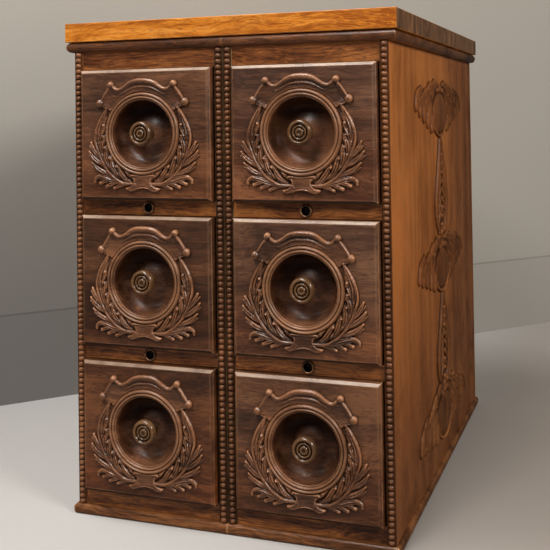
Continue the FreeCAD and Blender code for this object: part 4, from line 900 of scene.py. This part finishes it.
# ---------------------------------------------------------------- beaded mouldings
lo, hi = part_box("bead_mouldings")
z0, z1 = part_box("left_outer_side")[0][2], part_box("left_outer_side")[1][2]
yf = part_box("left_outer_side")[0][1]
cols = []
for n, s in (("left_outer_side", 0), ("left_inner_side", 0), ("right_inner_side", 0), ("right_outer_side", 0)):
    a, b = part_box(n)
    cols.append((a[0] + b[0]) / 2)
rng = np.random.default_rng(12)
NB = 83
pitch = (z1 - z0) / NB
NU, NV = ((18, 12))
for ci, xc in enumerate(cols):
    verts, faces, wear_and_highlight, cav = [], [], [], []
    # thin fillet strip behind the beads, painted dark as the shade behind them
    w2, t2 = 3.35 * MM, 0.55 * MM
    for i in range(NB * 2 + 1):
        z = z0 + (z1 - z0) * i / (NB * 2)
        jit = 0.05 * MM * math.sin(i * 0.37 + ci)
        for x, y in ((-w2, 0.0), (-w2 + 0.3 * MM, -t2), (w2 - 0.3 * MM, -t2), (w2, 0.0), (0.0, 0.35 * MM)):
            verts.append((xc + x + jit * 0.3, yf + y, z))
            wear_and_highlight.append(0.0)
            cav.append(0.75)
    for i in range(NB * 2):
        for j in range(5):
            a = i * 5 + j
            b = i * 5 + (j + 1) % 5
            faces.append((a, b, b + 5, a + 5))
    faces.append(tuple(range(4, -1, -1)))
    faces.append(tuple(range(NB * 2 * 5, NB * 2 * 5 + 5)))
    for i in range(NB):
        zc = z0 + pitch * (i + 0.5)
        r = (3.0 + rng.normal(0, 0.06)) * MM
        rz = pitch * 0.5 * (0.985 + rng.normal(0, 0.01))
        dx = rng.normal(0, 0.06) * MM
        flat = 1.0
        chip = 0.0
        if ci == 0 and i in (7, 8, 9, 10, 11, 12, 13, 14, 15):      # rubbed flat near the foot of the left edge
            flat = 0.55 + 0.35 * rng.random()
            chip = 0.8
        elif rng.random() < 0.035:
            flat = 0.75
            chip = 0.4
        base = len(verts)
        for a in range(NU + 1):
            th = math.pi * a / NU
            for b in range(NV * 2):
                ph = math.pi * b / NV
                # full little turned bead: round in plan, slightly flattened towards the wall
                px = math.sin(th) * math.cos(ph)
                py = math.sin(th) * math.sin(ph)
                pz = math.cos(th)
                yy = -py * r * 0.98
                if yy < 0:
                    yy = max(yy, -r * flat)
                else:
                    yy = min(yy, 0.25 * MM)
                verts.append((xc + dx + px * r, yf + yy, zc - pz * rz))
                # the front of each bead is made paler, partly rubbed and partly a painted highlight; where beads meet
                # and on their backs they are painted dark, as shade between them
                front = max(0.0, py)
                wear_and_highlight.append(min(1.0, max(0.0, (front - 0.80) * 3.0) * 0.6 + chip * max(0.0, front - 0.3)))
                cav.append(min(1.0, max(0.0, abs(pz) - 0.55) * 1.6 + (0.6 if front < 0.12 else 0.0)))
        m = NV * 2
        for a in range(NU):
            for b in range(m):
                p, q2 = base + a * m + b, base + a * m + (b + 1) % m
                faces.append((p, q2, q2 + m, p + m))
    ob = build("bead_column_%d" % (ci + 1), verts, faces, M["bead"], True, {"wear_and_highlight": wear_and_highlight, "dirt_and_shade": cav})
    bm = bmesh.new()
    bm.from_mesh(ob.data)
    bmesh.ops.remove_doubles(bm, verts=bm.verts, dist=1e-7)
    bmesh.ops.recalc_face_normals(bm, faces=bm.faces)
    bm.to_mesh(ob.data)
    bm.free()
    ob.data.polygons.foreach_set("use_smooth", [True] * len(ob.data.polygons))
    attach(ob, "case")
    if ci == 0:
        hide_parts("bead_mouldings")

# ---------------------------------------------------------------- keyhole rims
lo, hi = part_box("lock_barrels")
first = True
for n in ("left_upper", "left_lower", "right_upper", "right_lower"):
    a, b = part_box(n + "_lock_tongue")
    c = ((a[0] + b[0]) / 2, yf, (a[2] + b[2]) / 2)
    # the keyhole's bore is painted nearly black and the brass just outside its lip darker: painted shade in the hole
    # and a painted shadow round it
    rim = lathe(n + "_keyhole_rim", RIM[::-1], c, M["rim"], 96, 0.0, 3, lambda r, d, a: min(1.0, max(0.0, (-0.15 - d) / 0.35)) if r < 5.2 else 0.75 * min(1.0, max(0.0, (r - 5.9) / 0.4)))
    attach(rim, "case")
    if first:
        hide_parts("lock_barrels")
        first = False

# ---------------------------------------------------------------- floor, wall and light
def stage_mesh(name, verts, faces, mat):
    ob = build(name, verts, faces, mat, False)
    return ob


def plain(name, col, rough, back_clear=False, shade=None, seam=None):
    """Matt paint. shade: (axis, from, to, colour) tints, multiplied together; seam: (height, colour below it)."""
    T = Tree(name)
    bsdf = T.new("ShaderNodeBsdfPrincipled")
    bsdf.inputs["Roughness"].default_value = rough
    bsdf.inputs["Specular IOR Level"].default_value = 0.15
    co = T.new("ShaderNodeTexCoord").outputs["Object"]
    n = T.noise(T.scaled(co, (1, 1, 1)), 3.0, 3.0, 0.5)
    c = T.mix(n, tuple(x * 0.97 for x in col[:3]) + (1,), tuple(x * 1.03 for x in col[:3]) + (1,))
    sep = T.new("ShaderNodeSeparateXYZ")
    T.link(co, sep.inputs[0])
    f = None
    for ax, lo, hi in (shade[0] if shade else ()):
        g = T.step(sep.outputs[ax], min(lo, hi), max(lo, hi), 0.0 if lo < hi else 1.0, 1.0 if lo < hi else 0.0)
        f = g if f is None else T.math("MULTIPLY", f, g)
    if f is not None:
        c = T.mix(f, c, shade[1], blend="MULTIPLY")
    if seam:
        z = sep.outputs[2]
        c = T.mix(T.step(z, seam[0] - 0.0008, seam[0] + 0.0008, 1.0, 0.0), c, seam[1], blend="MULTIPLY")
        away = T.math("ABSOLUTE", T.math("SUBTRACT", z, seam[0]))
        c = T.mix(T.step(away, 0.0004, 0.0022, 0.45, 0.0), c, (0.35, 0.34, 0.33, 1), blend="MULTIPLY")
    path = T.new("ShaderNodeLightPath")
    c = T.mix(T.math("MULTIPLY", path.outputs["Is Glossy Ray"], 0.8), c, (0.0, 0.0, 0.0, 1))
    T.link(c, bsdf.inputs["Base Color"])
    if back_clear:
        geo = T.new("ShaderNodeNewGeometry")
        tr = T.new("ShaderNodeBsdfTransparent")
        mx = T.new("ShaderNodeMixShader")
        T.link(geo.outputs["Backfacing"], mx.inputs[0])
        T.link(bsdf.outputs[0], mx.inputs[1])
        T.link(tr.outputs[0], mx.inputs[2])
        T.link(mx.outputs[0], T.out.inputs[0])
    else:
        T.link(bsdf.outputs[0], T.out.inputs[0])
    return T.mat


# ---------------------------------------------------------------- camera at the photograph's viewing angle
CAM = Vector((0.3674, -0.9614, 0.3982))
yaw, pitch_a, roll = math.radians(-17.596), math.radians(1.017), math.radians(-0.894)
F = 869.2
PX, PY = 350.0, 96.6
fwd = Vector((math.sin(yaw) * math.cos(pitch_a), math.cos(yaw) * math.cos(pitch_a), math.sin(pitch_a)))
right = Vector((math.cos(yaw), -math.sin(yaw), 0.0))
up = right.cross(fwd)
c_, s_ = math.cos(roll), math.sin(roll)
r2 = c_ * right + s_ * up
u2 = -s_ * right + c_ * up
cam = bpy.data.cameras.new("camera")
cam_ob = bpy.data.objects.new("camera", cam)
bpy.context.scene.collection.objects.link(cam_ob)
mat = Matrix((r2, u2, -fwd)).transposed().to_4x4()
mat.translation = CAM
cam_ob.rotation_mode = "QUATERNION"
cam_ob.location = CAM
cam_ob.rotation_quaternion = mat.to_3x3().to_quaternion()
cam.sensor_fit = "HORIZONTAL"
cam.sensor_width = 36.0
cam.lens = F * 36.0 / 550.0
cam.clip_start, cam.clip_end = 0.02, 50.0
SHX, SHY = (275.0 - PX) / 550.0, -(275.0 - PY) / 550.0
for prop, val in (("shift_x", SHX), ("shift_y", SHY)):
    # the rise and shift of the lens belong to this viewpoint only
    d = cam.driver_add(prop).driver
    d.type = "SCRIPTED"
    v = d.variables.new()
    v.name = "x"
    v.type = "TRANSFORMS"
    v.targets[0].id = cam_ob
    v.targets[0].transform_type = "LOC_X"
    v.targets[0].transform_space = "WORLD_SPACE"
    d.expression = "%.6f if abs(x - %.6f) < 0.0005 else 0.0" % (val, CAM[0])
bpy.context.scene.camera = cam_ob


def ray(px, py):
    return (fwd + r2 * ((px - PX) / F) - u2 * ((py - PY) / F)).normalized()


def on_floor(px, py):
    d = ray(px, py)
    return CAM + d * (-CAM.z / d.z)


# wall: a vertical plane through the two ends of the line where floor and wall meet
A, B = on_floor(0, 406), on_floor(550, 322)
dirn = (B - A).normalized()
L0, L1 = A - dirn * 6.0, B + dirn * 6.0
wn = Vector((-dirn.y, dirn.x, 0.0))


def on_wall(px, py):
    d = ray(px, py)
    return CAM + d * ((A - CAM).dot(wn) / d.dot(wn))


SEAM = (on_wall(20, 307.5).z + on_wall(520, 264).z) / 2
wall_mat = plain("wall_paint", srgb(168, 163, 155), 0.9, True, (((0, 0.10, -0.50), (2, 0.62, 0.05)), (0.60, 0.61, 0.63, 1)), (SEAM, (0.93, 0.93, 0.94, 1)))
wall = stage_mesh("wall", [(L0.x, L0.y, -0.001), (L1.x, L1.y, -0.001), (L1.x, L1.y, 6.0), (L0.x, L0.y, 6.0)], [(0, 1, 2, 3)], wall_mat)
nrm = wall.data.polygons[0].normal
if nrm.dot(CAM - A) < 0:
    wall.data.flip_normals()
floor_mat = plain("floor_paint", srgb(183, 180, 177), 0.7, False, (((0, -0.10, 0.42),), (0.62, 0.56, 0.50, 1)))
stage_mesh("floor", [(-8, -8, 0), (8, -8, 0), (8, 8, 0), (-8, 8, 0)], [(0, 1, 2, 3)], floor_mat)

world = bpy.data.worlds.new("studio")
bpy.context.scene.world = world
world.use_nodes = True
bg = world.node_tree.nodes["Background"]
bg.inputs[0].default_value = (0.86, 0.86, 0.86, 1)
bg.inputs[1].default_value = 0.10


def softbox(name, loc, target, size, power, col=(1, 1, 1), size_y=None):
    l = bpy.data.lights.new(name, "AREA")
    l.shape = "RECTANGLE"
    l.size = size
    l.size_y = size_y or size
    l.energy = power
    l.color = col
    ob = bpy.data.objects.new(name, l)
    bpy.context.scene.collection.objects.link(ob)
    ob.location = loc
    ob.rotation_mode = "QUATERNION"
    ob.rotation_quaternion = (Vector(loc) - Vector(target)).to_track_quat("Z", "Y")
    return ob


softbox("main", (-0.15, -1.50, 1.90), (0.0, -0.2, 0.25), 0.6, 22, (1.0, 0.98, 0.95))
softbox("left", (-1.6, -1.3, 1.3), (0.0, -0.15, 0.25), 0.5, 3.5, (1.0, 0.98, 0.95))
softbox("side", (1.9, -1.0, 1.5), (0.05, -0.05, 0.25), 0.6, 36, (1.0, 0.96, 0.90))
softbox("over", (-0.45, -0.50, 2.05), (0.0, -0.15, 0.25), 1.1, 32, (1.0, 0.98, 0.96), 0.5)

bpy.context.scene.view_settings.view_transform = "Standard"
bpy.context.scene.view_settings.look = "None"
bpy.context.scene.view_settings.exposure = 0.0
